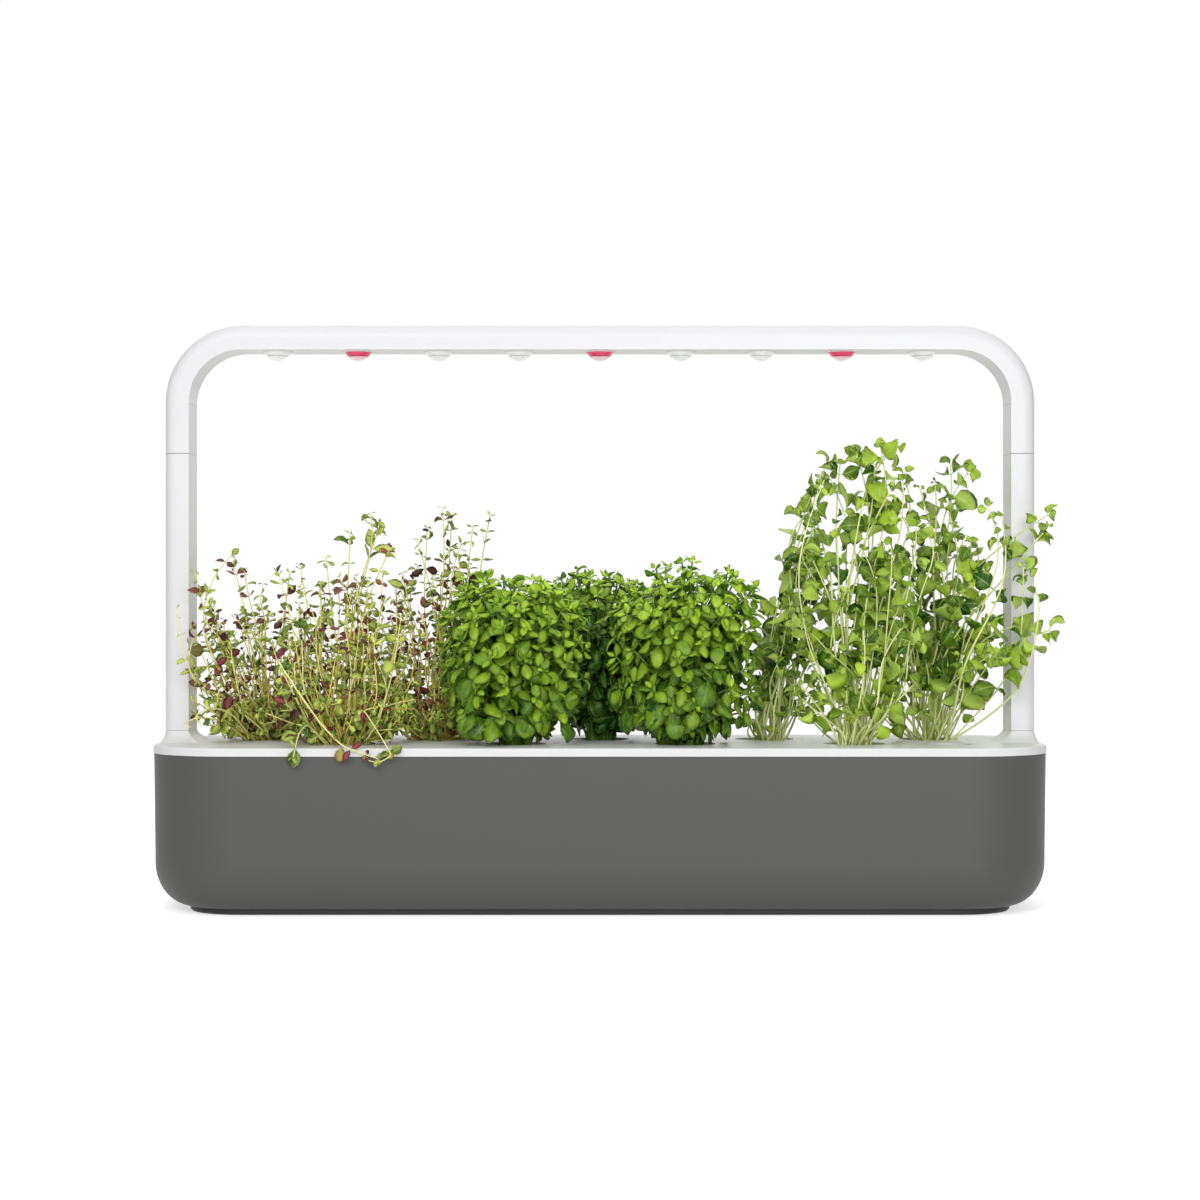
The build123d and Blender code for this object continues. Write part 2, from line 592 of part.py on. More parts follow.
with BuildPart() as socket_contacts:
    with BuildSketch(Plane((tube_centre, 0, terminal_top))):
        Rectangle(TERMINAL_LENGTH, TERMINAL_WIDTH)
    extrude(amount=-TERMINAL_HEIGHT)
    with BuildSketch(Plane((tube_centre, 0, terminal_top))):
        with Locations((0, ROD_OFFSET), (0, -ROD_OFFSET)):
            Circle(ROD_RADIUS)
    extrude(amount=SOCKET_FLOOR)
    with BuildSketch(Plane((tube_centre, 0, socket_floor))):
        with Locations((0, ROD_OFFSET), (0, -ROD_OFFSET)):
            Circle(CONTACT_RADIUS)
    extrude(amount=CONTACT_HEAD)
write(socket_contacts.part, "socket_contacts")

lead_height = terminal_top - TERMINAL_HEIGHT / 2
lead_from = inlet_face - INLET_LENGTH
lead_start = (inlet_x, lead_from, inlet_height)
lead_route = [
    lead_start,
    (inlet_x, lead_from - LEAD_OUT, inlet_height),
    (inlet_x + LEAD_OUT, lead_from - LEAD_DROP, lead_height),
    (tube_centre - LEAD_TURN, lead_from - LEAD_DROP - LEAD_BEND, lead_height),
    (tube_centre, lead_from - 2 * LEAD_TURN, lead_height),
    (tube_centre, TERMINAL_WIDTH / 2, lead_height),
]

with BuildPart() as inlet_lead:
    with BuildLine() as lead_line:
        FilletPolyline(*lead_route, radius=LEAD_BEND)
    with BuildSketch(Plane(lead_start, z_dir=(0, -1, 0))):
        Circle(LEAD_RADIUS)
    sweep()
write(inlet_lead.part, "inlet_lead")


# ---- arms: tube shell, inner cover, spigot -------------------------------------------------------------
def arm_shell(side):
    """A plain length of tube, slotted along its inner face for the cover."""
    outside = tube_section(arm_plane(side, neck_top), 0.0, side)
    inside = tube_section(arm_plane(side, neck_top), TUBE_WALL, side)
    with BuildPart() as shell:
        extrude(outside, amount=arm_length)
        ends = shell.faces().sort_by(Axis.Z)
        chamfer(ends[0].edges() + ends[-1].edges(), SEAM_EDGE)
        extrude(inside, amount=arm_length, mode=Mode.SUBTRACT)
        with BuildSketch(Plane((side * (tube_centre - TUBE_THICKNESS / 2), 0, neck_top))):
            Rectangle(2 * TUBE_WALL, channel_width)
        extrude(amount=arm_length, mode=Mode.SUBTRACT)
    return shell.part


def arm_cover(side):
    """The flat strip that closes an arm's inner face, with two legs that clip inside the lips."""
    face = side * (tube_centre - TUBE_THICKNESS / 2)
    leg_offset = (cover_width - COVER_LEG_THICKNESS) / 2
    clip_low = neck_top + SPIGOT_GRIP + COVER_LEG_GAP
    clip_length = arm_top - SPIGOT_LENGTH - COVER_LEG_GAP - clip_low
    with BuildPart() as cover:
        with BuildSketch(Plane((face + side * COVER_THICKNESS / 2, 0, neck_top))):
            Rectangle(COVER_THICKNESS, cover_width)
        extrude(amount=arm_length)
        with BuildSketch(Plane((face + side * (COVER_THICKNESS + COVER_LEG / 2), 0, clip_low))):
            with Locations((0, leg_offset), (0, -leg_offset)):
                Rectangle(COVER_LEG, COVER_LEG_THICKNESS)
        extrude(amount=clip_length)
    return cover.part


def spigot(side, seam, length, wired):
    """The plug at a seam: part of it grips the tube above, and a length of it drops into the one below."""
    bottom = seam - length
    outline = tube_section(arm_plane(side, bottom), TUBE_WALL + SPIGOT_CLEARANCE, side)
    with BuildPart() as plug:
        extrude(outline, amount=length + SPIGOT_GRIP)
        chamfer(plug.faces().sort_by(Axis.Z)[0].edges(), SPIGOT_LEAD_IN)
        with BuildSketch(arm_plane(side, bottom)):
            if wired:
                with Locations((0, ROD_OFFSET), (0, -ROD_OFFSET)):
                    Circle(ROD_RADIUS + ROD_CLEARANCE)
            else:
                SlotOverall(2 * ROD_OFFSET + 6 * ROD_RADIUS, 4 * ROD_RADIUS, rotation=90)
        extrude(amount=length + SPIGOT_GRIP, mode=Mode.SUBTRACT)
    return plug.part


def contact_rods(bottom, top):
    """The pair of supply rods in the right-hand side, between two heights."""
    with BuildPart() as rods:
        with BuildSketch(arm_plane(1, bottom)):
            with Locations((0, ROD_OFFSET), (0, -ROD_OFFSET)):
                Circle(ROD_RADIUS)
        extrude(amount=top - bottom)
    return rods.part


for side, word in ((-1, "left"), (1, "right")):
    write(arm_shell(side), f"{word}_arm_shell")
    write(arm_cover(side), f"{word}_arm_cover")
    write(spigot(side, neck_top, foot_spigot_length, wired=side > 0), f"{word}_arm_spigot")
    write(spigot(side, arm_top, SPIGOT_LENGTH, wired=side > 0), f"{word}_lamp_spigot")

write(contact_rods(neck_top - foot_spigot_length, arm_top - SPIGOT_LENGTH), "arm_contact_rods")
write(contact_rods(arm_top - SPIGOT_LENGTH, arm_top + SPIGOT_GRIP), "lamp_contact_rods")

# ---- lamp arch ----------------------------------------------------------------------------------------
bend_centre_x = arch_span / 2 - ARCH_BEND


def arch_line(depth, left_end, right_end):
    """A line that follows the arch, depth inwards from its outer face, between two ends.

    An end is ("leg", height) on a leg or ("bar", x) on the straight top.
    """
    leg_x = arch_span / 2 - depth
    bar_z = OVERALL_HEIGHT - depth
    with BuildLine(Plane.XZ) as line:
        if left_end[0] == "leg":
            Line((-leg_x, left_end[1]), (-leg_x, bend_start))
            RadiusArc((-leg_x, bend_start), (-bend_centre_x, bar_z), ARCH_BEND - depth)
        bar_from = -bend_centre_x if left_end[0] == "leg" else left_end[1]
        bar_to = bend_centre_x if right_end[0] == "leg" else right_end[1]
        Line((bar_from, bar_z), (bar_to, bar_z))
        if right_end[0] == "leg":
            RadiusArc((bend_centre_x, bar_z), (leg_x, bend_start), ARCH_BEND - depth)
            Line((leg_x, bend_start), (leg_x, right_end[1]))
    return line.line


def arch_strip(depth, height, width, left_end, right_end, offsets=(0.0,)):
    """Rectangular strips swept along the arch: depth of the strip's middle, its height and its width."""
    path = arch_line(depth, left_end, right_end)
    if left_end[0] == "leg":
        start = Plane((depth - arch_span / 2, 0, left_end[1]), x_dir=(1, 0, 0), z_dir=(0, 0, 1))
    else:
        start = Plane((left_end[1], 0, OVERALL_HEIGHT - depth), x_dir=(0, 0, -1), z_dir=(1, 0, 0))
    with BuildPart() as strip:
        with BuildSketch(start):
            with Locations(*[(0, offset) for offset in offsets]):
                Rectangle(height, width)
        sweep(path=path)
    return strip.part


def cover_body(left_end, right_end, lens_list):
    """An inner cover of the arch: a flat strip, two clip legs, and a bezelled hole for each lens."""
    hole_radius = LENS_RADIUS + LENS_CLEARANCE
    plate_depth = TUBE_THICKNESS - COVER_THICKNESS / 2
    plate = arch_strip(plate_depth, COVER_THICKNESS, cover_width, left_end, right_end)
    leg_offset = (cover_width - COVER_LEG_THICKNESS) / 2
    legs = arch_strip(
        TUBE_THICKNESS - COVER_THICKNESS - COVER_LEG / 2,
        COVER_LEG,
        COVER_LEG_THICKNESS,
        left_end,
        right_end,
        offsets=(-leg_offset, leg_offset),
    )
    with BuildPart() as cover:
        add(plate)
        add(legs)
        with BuildSketch(Plane.XY.offset(arch_under - BEZEL_PROUD)):
            with Locations(*[(x, 0) for x in lens_list]):
                Circle(hole_radius + BEZEL_WIDTH)
        extrude(amount=BEZEL_PROUD)
        with BuildSketch(Plane.XY.offset(arch_under - BEZEL_PROUD)):
            with Locations(*[(x, 0) for x in lens_list]):
                Circle(hole_radius)
        extrude(amount=BEZEL_PROUD + COVER_THICKNESS, mode=Mode.SUBTRACT)
    return cover.part


arch_ends = (("leg", arm_top), ("leg", arm_top))
arch_path = arch_line(TUBE_THICKNESS / 2, *arch_ends)
arch_foot = arm_plane(-1, arm_top)
arch_outside = tube_section(arch_foot, 0.0, -1)
arch_inside = tube_section(arch_foot, TUBE_WALL, -1)
channel = arch_strip(
    TUBE_THICKNESS - TUBE_WALL / 2,
    2 * TUBE_WALL,
    channel_width,
    ("leg", cover_start),
    ("leg", cover_start),
)

with BuildPart() as lamp_shell:
    sweep(arch_outside, path=arch_path)
    chamfer(lamp_shell.faces().filter_by(Axis.Z).sort_by(Axis.Z)[:2].edges(), SEAM_EDGE)
    sweep(arch_inside, path=arch_path, mode=Mode.SUBTRACT)
    add(channel, mode=Mode.SUBTRACT)
    # bosses that the board's screws hold in
    with BuildSketch(Plane.XY.offset(board_under + BOARD_THICKNESS)):
        with Locations(*[(x, 0) for x in boss_places]):
            Circle(SCREW_RADIUS + SCREW_BOSS_WALL)
    extrude(amount=OVERALL_HEIGHT - TUBE_WALL / 2 - board_under - BOARD_THICKNESS)
    with BuildSketch(Plane.XY.offset(board_under + BOARD_THICKNESS)):
        with Locations(*[(x, 0) for x in boss_places]):
            Circle(SCREW_RADIUS + ROD_CLEARANCE)
    extrude(amount=SCREW_LENGTH, mode=Mode.SUBTRACT)
write(lamp_shell.part, "lamp_shell")

joint_left = ("bar", -cover_joint_x)
joint_right = ("bar", cover_joint_x)
leg_end = ("leg", cover_start)
side_lenses = [x for x in lens_places if x > cover_joint_x]
write(
    cover_body(joint_left, joint_right, [x for x in lens_places if abs(x) < cover_joint_x]),
    "lamp_middle_cover",
)
write(cover_body(leg_end, joint_left, [-x for x in side_lenses]), "lamp_left_cover")
write(cover_body(joint_right, leg_end, side_lenses), "lamp_right_cover")

# ---- light board, chips, lenses, screws ---------------------------------------------------------------
with BuildPart() as led_board:
    with BuildSketch(Plane.XY.offset(board_under)):
        Rectangle(board_length, board_width)
        with Locations(*[(x, 0) for x in boss_places]):
            Circle(SCREW_RADIUS + 4 * ROD_CLEARANCE, mode=Mode.SUBTRACT)
    extrude(amount=BOARD_THICKNESS)
write(led_board.part, "led_board")

with BuildPart() as led_chips:
    with BuildSketch(Plane.XY.offset(board_under)):
        with Locations(*[(x, 0) for x in lens_places]):
            Rectangle(CHIP_SIZE, CHIP_SIZE)
    extrude(amount=-CHIP_HEIGHT)
write(led_chips.part, "led_chips")

with BuildPart() as board_screws:
    with BuildSketch(Plane.XY.offset(board_under)):
        with Locations(*[(x, 0) for x in boss_places]):
            Circle(SCREW_HEAD_RADIUS)
    extrude(amount=-SCREW_HEAD)
    with BuildSketch(Plane.XY.offset(board_under)):
        with Locations(*[(x, 0) for x in boss_places]):
            Circle(SCREW_RADIUS)
    extrude(amount=BOARD_THICKNESS + SCREW_LENGTH - SCREW_TIP_GAP)
write(board_screws.part, "board_screws")


def lens_set(places):
    """Domed lenses, hollow above, each with a collar that is held between the cover and the board."""
    seat = arch_under + COVER_THICKNESS
    collar_radius = LENS_RADIUS + LENS_FLANGE
    cavity_radius = LENS_RADIUS - LENS_WALL
    with BuildPart() as lenses:
        for x in places:
            with BuildSketch(upright_plane(x, 0)):
                with BuildLine():
                    Line((0, arch_under - LENS_DROP), (0, arch_under - LENS_DROP + LENS_WALL))
                    Spline(
                        (0, arch_under - LENS_DROP + LENS_WALL),
                        (0.66 * cavity_radius, arch_under - 0.66 * LENS_DROP + LENS_WALL),
                        (cavity_radius, arch_under + LENS_WALL / 2),
                        tangents=((1, 0), (0.3, 0.95)),
                    )
                    Polyline(
                        (cavity_radius, arch_under + LENS_WALL / 2),
                        (cavity_radius, board_under),
                        (collar_radius, board_under),
                        (collar_radius, seat),
                        (LENS_RADIUS, seat),
                        (LENS_RADIUS, arch_under),
                    )
                    Spline(
                        (LENS_RADIUS, arch_under),
                        (0.68 * LENS_RADIUS, arch_under - 0.65 * LENS_DROP),
                        (0, arch_under - LENS_DROP),
                        tangents=((-0.3, -0.95), (-1, 0)),
                    )
                make_face()
            revolve(axis=Axis((x, 0, 0), (0, 0, 1)))
    return lenses.part


write(lens_set(clear_lens_places), "clear_lenses")
write(lens_set(red_lens_places), "red_lenses")

# ---- timer board in the right leg, and its lead to the light board -------------------------------------
lead_depth = OVERALL_HEIGHT - board_under - BOARD_THICKNESS / 2
timer_bottom = arm_top + SPIGOT_GRIP
timer_x = arch_span / 2 - lead_depth

with BuildPart() as timer_board:
    with BuildSketch(Plane((timer_x, 0, timer_bottom))):
        Rectangle(BOARD_THICKNESS, board_width)
    extrude(amount=bend_start - timer_bottom)
    timer_middle = (timer_x - BOARD_THICKNESS / 2, 0, (timer_bottom + bend_start) / 2)
    with BuildSketch(Plane(timer_middle, z_dir=(-1, 0, 0))):
        with GridLocations(TIMER_CHIP_LENGTH + TIMER_CHIP_GAP, TIMER_CHIP_WIDTH + TIMER_CHIP_GAP, 2, 2):
            Rectangle(TIMER_CHIP_LENGTH, TIMER_CHIP_WIDTH)
    extrude(amount=TIMER_CHIP_HEIGHT)
write(timer_board.part, "timer_board")

with BuildPart() as lamp_lead:
    with BuildLine(Plane.XZ) as supply_line:
        Line((board_length / 2, OVERALL_HEIGHT - lead_depth), (bend_centre_x, OVERALL_HEIGHT - lead_depth))
        RadiusArc(
            (bend_centre_x, OVERALL_HEIGHT - lead_depth),
            (timer_x, bend_start),
            ARCH_BEND - lead_depth,
        )
    with BuildSketch(Plane(supply_line.line @ 0, z_dir=supply_line.line % 0)):
        Circle(LEAD_RADIUS)
    sweep()
write(lamp_lead.part, "lamp_lead")
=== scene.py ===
"""Dresses the countertop hydroponic garden: grey tank, white lid and lamp arch, nine pots of herbs."""

import math

import bmesh
import bpy
import numpy as np
from mathutils import Matrix, Vector


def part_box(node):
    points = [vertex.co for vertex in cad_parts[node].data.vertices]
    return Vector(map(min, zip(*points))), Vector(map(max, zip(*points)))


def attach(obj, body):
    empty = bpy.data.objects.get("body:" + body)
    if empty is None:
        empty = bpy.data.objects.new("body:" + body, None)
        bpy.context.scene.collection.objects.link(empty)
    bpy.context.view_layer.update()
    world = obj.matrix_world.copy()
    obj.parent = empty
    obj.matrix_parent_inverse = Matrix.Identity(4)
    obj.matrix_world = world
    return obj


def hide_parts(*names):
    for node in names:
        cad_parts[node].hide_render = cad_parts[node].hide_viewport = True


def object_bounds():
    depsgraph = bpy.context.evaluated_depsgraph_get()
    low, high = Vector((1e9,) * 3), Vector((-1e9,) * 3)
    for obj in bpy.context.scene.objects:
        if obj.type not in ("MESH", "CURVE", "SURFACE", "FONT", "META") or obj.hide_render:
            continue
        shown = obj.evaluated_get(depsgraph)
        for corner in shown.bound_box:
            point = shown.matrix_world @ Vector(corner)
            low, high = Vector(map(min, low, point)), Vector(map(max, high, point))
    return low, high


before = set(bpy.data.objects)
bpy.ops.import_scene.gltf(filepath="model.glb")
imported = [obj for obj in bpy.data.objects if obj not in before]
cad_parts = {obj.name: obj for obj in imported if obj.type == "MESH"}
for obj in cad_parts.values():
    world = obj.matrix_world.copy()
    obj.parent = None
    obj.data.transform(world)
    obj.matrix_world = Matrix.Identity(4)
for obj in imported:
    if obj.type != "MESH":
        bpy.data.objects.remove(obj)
cad_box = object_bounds()


# ---- studio -------------------------------------------------------------------------------------------
# A level camera stands in front of the middle of the garden, on a white sweep, with large soft lamps in
# front, above and behind. The white world is weaker from straight left and right, so that the round
# edges of the arch darken.
VIEW_DISTANCE = 1.860
VIEW_HEIGHT = 0.2105
VIEW_HALF_WIDTH = 0.4171  # half of what the camera sees at the middle of the garden
SENSOR = 36.0
FLOOR_SIZE = 12.0
FLOOR_WHITE = (0.94, 0.94, 0.94, 1.0)
FLOOR_GLOW = 0.60  # added where the camera or a mirrored ray sees the floor, so that it is pure white
WORLD_LIGHT = 0.52
WORLD_SIDES = 0.25  # the share of it that comes from straight left and right
SIDES_FROM, SIDES_FULL = 0.35, 0.9  # how far to the side the light starts to weaken, and is weakest
LAMPS = [  # name, place, aimed at, width, strength
    ("key_lamp", (-0.55, -2.35, 1.45), (0.0, 0.0, 0.17), 1.0, 20.0),
    ("fill_lamp", (0.5, -2.35, 0.62), (0.0, 0.0, 0.2), 0.8, 14.0),
    ("top_lamp", (0.0, 0.1, 2.0), (0.0, 0.0, 0.2), 1.5, 7.0),
    ("back_lamp", (0.3, 1.8, 1.0), (0.0, 0.0, 0.2), 1.6, 3.5),
]

scene = bpy.context.scene
scene.view_settings.view_transform = "Standard"
camera_data = bpy.data.cameras.new("front_camera")
camera_data.sensor_width = SENSOR
camera_data.lens = SENSOR / 2 * VIEW_DISTANCE / VIEW_HALF_WIDTH
camera = bpy.data.objects.new("front_camera", camera_data)
scene.collection.objects.link(camera)
camera.location = (0.0, -VIEW_DISTANCE, VIEW_HEIGHT)
camera.rotation_euler = (math.radians(90), 0.0, 0.0)
scene.camera = camera

for name, place, aim, width, strength in LAMPS:
    lamp_data = bpy.data.lights.new(name, "AREA")
    lamp_data.size = width
    lamp_data.energy = strength
    lamp = bpy.data.objects.new(name, lamp_data)
    scene.collection.objects.link(lamp)
    lamp.location = place
    lamp.rotation_euler = (Vector(aim) - Vector(place)).to_track_quat("-Z", "Y").to_euler()


def feed(node, inputs):
    """Sets a node's inputs, each to a plain value or linked to another node's output."""
    for socket, value in inputs.items():
        if isinstance(value, bpy.types.NodeSocket):
            node.id_data.links.new(value, node.inputs[socket])
        else:
            node.inputs[socket].default_value = value
    return node


def put(tree, kind, inputs=None, **settings):
    """Adds a node to a tree: its settings first, because they decide which inputs it has."""
    node = tree.nodes.new(kind)
    for setting, value in settings.items():
        setattr(node, setting, value)
    return feed(node, inputs or {})


def maths(tree, operation, *values):
    """The result of one operation on plain values or other nodes' outputs."""
    return put(tree, "ShaderNodeMath", dict(enumerate(values)), operation=operation).outputs[0]


def seen_by(tree, *rays):
    """A value that is 1 for these kinds of ray, and 0 for the light that falls on the object."""
    path = put(tree, "ShaderNodeLightPath").outputs
    seen = path[rays[0]]
    for ray in rays[1:]:
        seen = maths(tree, "MAXIMUM", seen, path[ray])
    return seen


world = bpy.data.worlds.new("white_studio")
scene.world = world
world.use_nodes = True
sky = world.node_tree
heading = put(sky, "ShaderNodeTexCoord").outputs["Generated"]
sideways = put(sky, "ShaderNodeSeparateXYZ", {0: heading}).outputs["X"]
sides = {"From Min": SIDES_FROM, "From Max": SIDES_FULL, "To Min": 1.0, "To Max": WORLD_SIDES}
cards = put(sky, "ShaderNodeMapRange", {"Value": maths(sky, "ABSOLUTE", sideways), **sides}).outputs["Result"]
by_mirrors = seen_by(sky, "Is Glossy Ray", "Is Transmission Ray")
mirrored = put(sky, "ShaderNodeMix", {"Factor": by_mirrors, "A": WORLD_LIGHT, "B": 1.0}).outputs["Result"]
dimmed = maths(sky, "MULTIPLY", mirrored, cards)
by_camera = seen_by(sky, "Is Camera Ray")
sky_level = put(sky, "ShaderNodeMix", {"Factor": by_camera, "A": dimmed, "B": 1.0}).outputs["Result"]
feed(sky.nodes["Background"], {"Strength": sky_level, "Color": (1.0, 1.0, 1.0, 1.0)})

floor_mesh = bpy.data.meshes.new("studio_floor")
half = FLOOR_SIZE / 2
corners = [(-half, -half, 0), (half, -half, 0), (half, half, 0), (-half, half, 0)]
floor_mesh.from_pydata(corners, [], [(0, 1, 2, 3)])
floor = bpy.data.objects.new("studio_floor", floor_mesh)
scene.collection.objects.link(floor)
sweep = bpy.data.materials.new("white_sweep")
sweep.use_nodes = True
sweep_tree = sweep.node_tree
sweep_tree.nodes.remove(sweep_tree.nodes["Principled BSDF"])
card = put(sweep_tree, "ShaderNodeBsdfDiffuse", {"Color": FLOOR_WHITE}).outputs[0]
seen = seen_by(sweep_tree, "Is Camera Ray", "Is Glossy Ray", "Is Transmission Ray")
glow_level = maths(sweep_tree, "MULTIPLY", seen, FLOOR_GLOW)
glow = put(sweep_tree, "ShaderNodeEmission", {"Strength": glow_level}).outputs[0]
both = put(sweep_tree, "ShaderNodeAddShader", {0: card, 1: glow}).outputs[0]
feed(sweep_tree.nodes["Material Output"], {"Surface": both})
floor_mesh.materials.append(sweep)


# ---- plinth and feet ----------------------------------------------------------------------------------
# A black moulded tray closes the underside of the tank. Six round rubber pads sit in seats in its
# underside and keep it off the worktop.
# Painted shade: a thin grey line at the height of each joint between mouldings, where the gap would be in
# shadow.
JOINT_SHADE_HALF = 0.00028
JOINT_SHADE_GREY = (0.42, 0.42, 0.43)


def new_finish(name):
    """A new material, its node tree, its shader, and the places on the object for its patterns."""
    finish = bpy.data.materials.new(name)
    finish.use_nodes = True
    tree = finish.node_tree
    return finish, tree, tree.nodes["Principled BSDF"], put(tree, "ShaderNodeTexCoord").outputs["Object"]


def blend(tree, factor, first, second):
    """The first colour where factor is 0, the second where it is 1; either may be another node's output."""
    first, second = ((*c, 1.0) if isinstance(c, (tuple, list)) else c for c in (first, second))
    inputs = {"Factor": factor, "A": first, "B": second}
    return put(tree, "ShaderNodeMix", inputs, data_type="RGBA").outputs["Result"]


def moulded(name, colour, roughness, grain=0.15, grain_size=0.0006, cloud=0.03, gleam=0.35, joints=()):
    """Moulded plastic: fine eroded grain, faint cloudiness, and a grey painted shade line at each joint's
    height.
    """
    finish, tree, shader, place = new_finish(name)
    clouds = put(tree, "ShaderNodeTexNoise", {"Vector": place, "Scale": 14.0, "Detail": 3.0}).outputs["Fac"]
    deep, pale = [c * (1 - cloud) for c in colour], [min(c * (1 + cloud), 1.0) for c in colour]
    skin = blend(tree, clouds, deep, pale)
    # painted shade: the grey line in each joint's gap
    for height in joints:
        up = put(tree, "ShaderNodeSeparateXYZ", {0: place}).outputs["Z"]
        skin = blend(tree, maths(tree, "COMPARE", up, height, JOINT_SHADE_HALF), skin, JOINT_SHADE_GREY)
    span = {"To Min": roughness - 0.04, "To Max": roughness + 0.04}
    gloss = put(tree, "ShaderNodeMapRange", {"Value": clouds, **span}).outputs["Result"]
    fine = {"Vector": place, "Scale": 1.0 / grain_size, "Detail": 2.0}
    grains = put(tree, "ShaderNodeTexNoise", fine).outputs["Fac"]
    depth = {"Strength": grain, "Distance": grain_size / 3}
    relief = put(tree, "ShaderNodeBump", {"Height": grains, **depth}).outputs["Normal"]
    feed(shader, {"Specular IOR Level": gleam, "Base Color": skin, "Roughness": gloss, "Normal": relief})
    return finish


def finish_nodes(finish, *names):
    """Gives CAD nodes their finish."""
    for name in names:
        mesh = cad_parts[name].data
        mesh.materials.clear()
        mesh.materials.append(finish)


finish_nodes(moulded("plinth_black", (0.022, 0.022, 0.023), 0.5), "base_plinth")
finish_nodes(moulded("pad_rubber", (0.03, 0.03, 0.03), 0.75, grain=0.4), "rubber_feet")


# ---- water tank ---------------------------------------------------------------------------------------
# The tank is one injection moulding in dark grey, with a fine matt texture from its mould. It is an open
# trough that the lid closes, and its front is bare of any lettering.
finish_nodes(moulded("tank_grey", (0.090, 0.090, 0.088), 0.52, grain=0.3, grain_size=0.0008), "water_tank")


# ---- planting lid -------------------------------------------------------------------------------------
# The lid is one satin white moulding. Its skirt drops inside the tank, and it has the sleeves for the pots
# and the flared sockets for the arms. The white well that hangs in it guides the float, and a tab on its
# hidden back edge holds the black power inlet.
finish_nodes(moulded("lid_white", (0.85, 0.85, 0.855), 0.34, grain=0.05, gleam=0.08), "planter_lid")
finish_nodes(moulded("well_white", (0.78, 0.78, 0.77), 0.4, grain=0.1), "float_well")
finish_nodes(moulded("float_white", (0.80, 0.80, 0.78), 0.45, grain=0.3), "float")
finish_nodes(moulded("inlet_black", (0.02, 0.02, 0.02), 0.4), "dc_inlet")


# ---- contacts and leads -------------------------------------------------------------------------------
# Brass contacts in the right socket, and brass rods up through the right arm, carry the lamp's low
# voltage, so that no cord hangs outside. One short sheathed lead joins the inlet to the contacts, and
# another joins the two boards in the lamp.
def metal(name, colour, roughness):
    """Bare metal, drawn along its length: long fine streaks in its gloss."""
    finish, tree, shader, place = new_finish(name)
    drawn = put(tree, "ShaderNodeMapping", {"Vector": place, "Scale": (8.0, 8.0, 0.4)}).outputs["Vector"]
    streaks = put(tree, "ShaderNodeTexNoise", {"Vector": drawn, "Scale": 250.0}).outputs["Fac"]
    span = {"To Min": roughness - 0.08, "To Max": roughness + 0.12}
    gloss = put(tree, "ShaderNodeMapRange", {"Value": streaks, **span}).outputs["Result"]
    feed(shader, {"Metallic": 1.0, "Base Color": (*colour, 1.0), "Roughness": gloss})
    return finish


contact_brass = metal("contact_brass", (0.72, 0.53, 0.26), 0.3)
finish_nodes(contact_brass, "socket_contacts", "arm_contact_rods", "lamp_contact_rods")
finish_nodes(moulded("lead_sheath", (0.7, 0.7, 0.7), 0.5), "inlet_lead", "lamp_lead")


# ---- arms and lamp arch -------------------------------------------------------------------------------
# Arms and arch are satin white mouldings with one flattened tube section, and plug together on spigots.
# Covers, a shade duller in gloss, clip into the slot along their inner faces. Their white is painted paler
# and faintly magenta: painted light, which makes up for the shade on those inner faces and for the green
# light that the herbs throw on them. Fine grey lines of painted shade mark the joints, where the gaps
# would be in shadow.
SEAMS = (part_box("lamp_shell")[0].z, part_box("left_arm_shell")[0].z)
shell_white = moulded("shell_white", (0.815, 0.815, 0.83), 0.36, grain=0.05, joints=SEAMS)
cover_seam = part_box("lamp_right_cover")[0].z
# Painted light: the covers' white is paler than the shell's and faintly magenta, to make up for the shade on
# the inner faces and the green light from the herbs.
cover_white_painted_light = moulded("cover_white_painted_light", (0.93, 0.905, 0.93), 0.40, grain=0.08, joints=(cover_seam,))
finish_nodes(shell_white, "left_arm_shell", "right_arm_shell", "lamp_shell")
finish_nodes(cover_white_painted_light, "left_arm_cover", "right_arm_cover")
finish_nodes(cover_white_painted_light, "lamp_left_cover", "lamp_middle_cover", "lamp_right_cover")
spigot_white = moulded("spigot_white", (0.74, 0.74, 0.74), 0.5)
finish_nodes(spigot_white, "left_arm_spigot", "right_arm_spigot", "left_lamp_spigot", "right_lamp_spigot")


# ---- light boards -------------------------------------------------------------------------------------
# A long aluminium board with a white solder mask carries nine chips, and zinc screws hold it to bosses
# inside the arch. A small green timer board stands in the lamp's right leg.
finish_nodes(moulded("board_mask_white", (0.78, 0.78, 0.76), 0.35, grain=0.05), "led_board")
finish_nodes(moulded("chip_phosphor", (0.8, 0.66, 0.2), 0.5, grain=0.1), "led_chips")
finish_nodes(metal("screw_zinc", (0.6, 0.6, 0.6), 0.35), "board_screws")
finish_nodes(moulded("board_mask_green", (0.02, 0.17, 0.06), 0.35, grain=0.1), "timer_board")


# ---- lenses -------------------------------------------------------------------------------------------
# Shallow domed mouldings, seated through the covers over the chips: six are milky clear, and three are a
# clear red that is paler at its middle. All of them glow faintly in their own colour though the lamp is
# off: a painted glow, for the light that the clear plastic passes on.
LENS_MIDDLE, LENS_RIM = 0.0062, 0.0074  # the colour deepens between these distances from a lens's middle
LENS_RING_HALF = 0.0003  # a darker ring runs round the rim, this far to either side
# Painted glow: the lenses give off a little light though the lamp is off.
LENS_PAINTED_GLOW = 0.13  # stands for the light gathered inside the plastic
chips_low, chips_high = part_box("led_chips")
CHIP_SIZE = chips_high.y - chips_low.y
CHIPS = 9
LENS_PITCH = (chips_high.x - chips_low.x - CHIP_SIZE) / (CHIPS - 1)


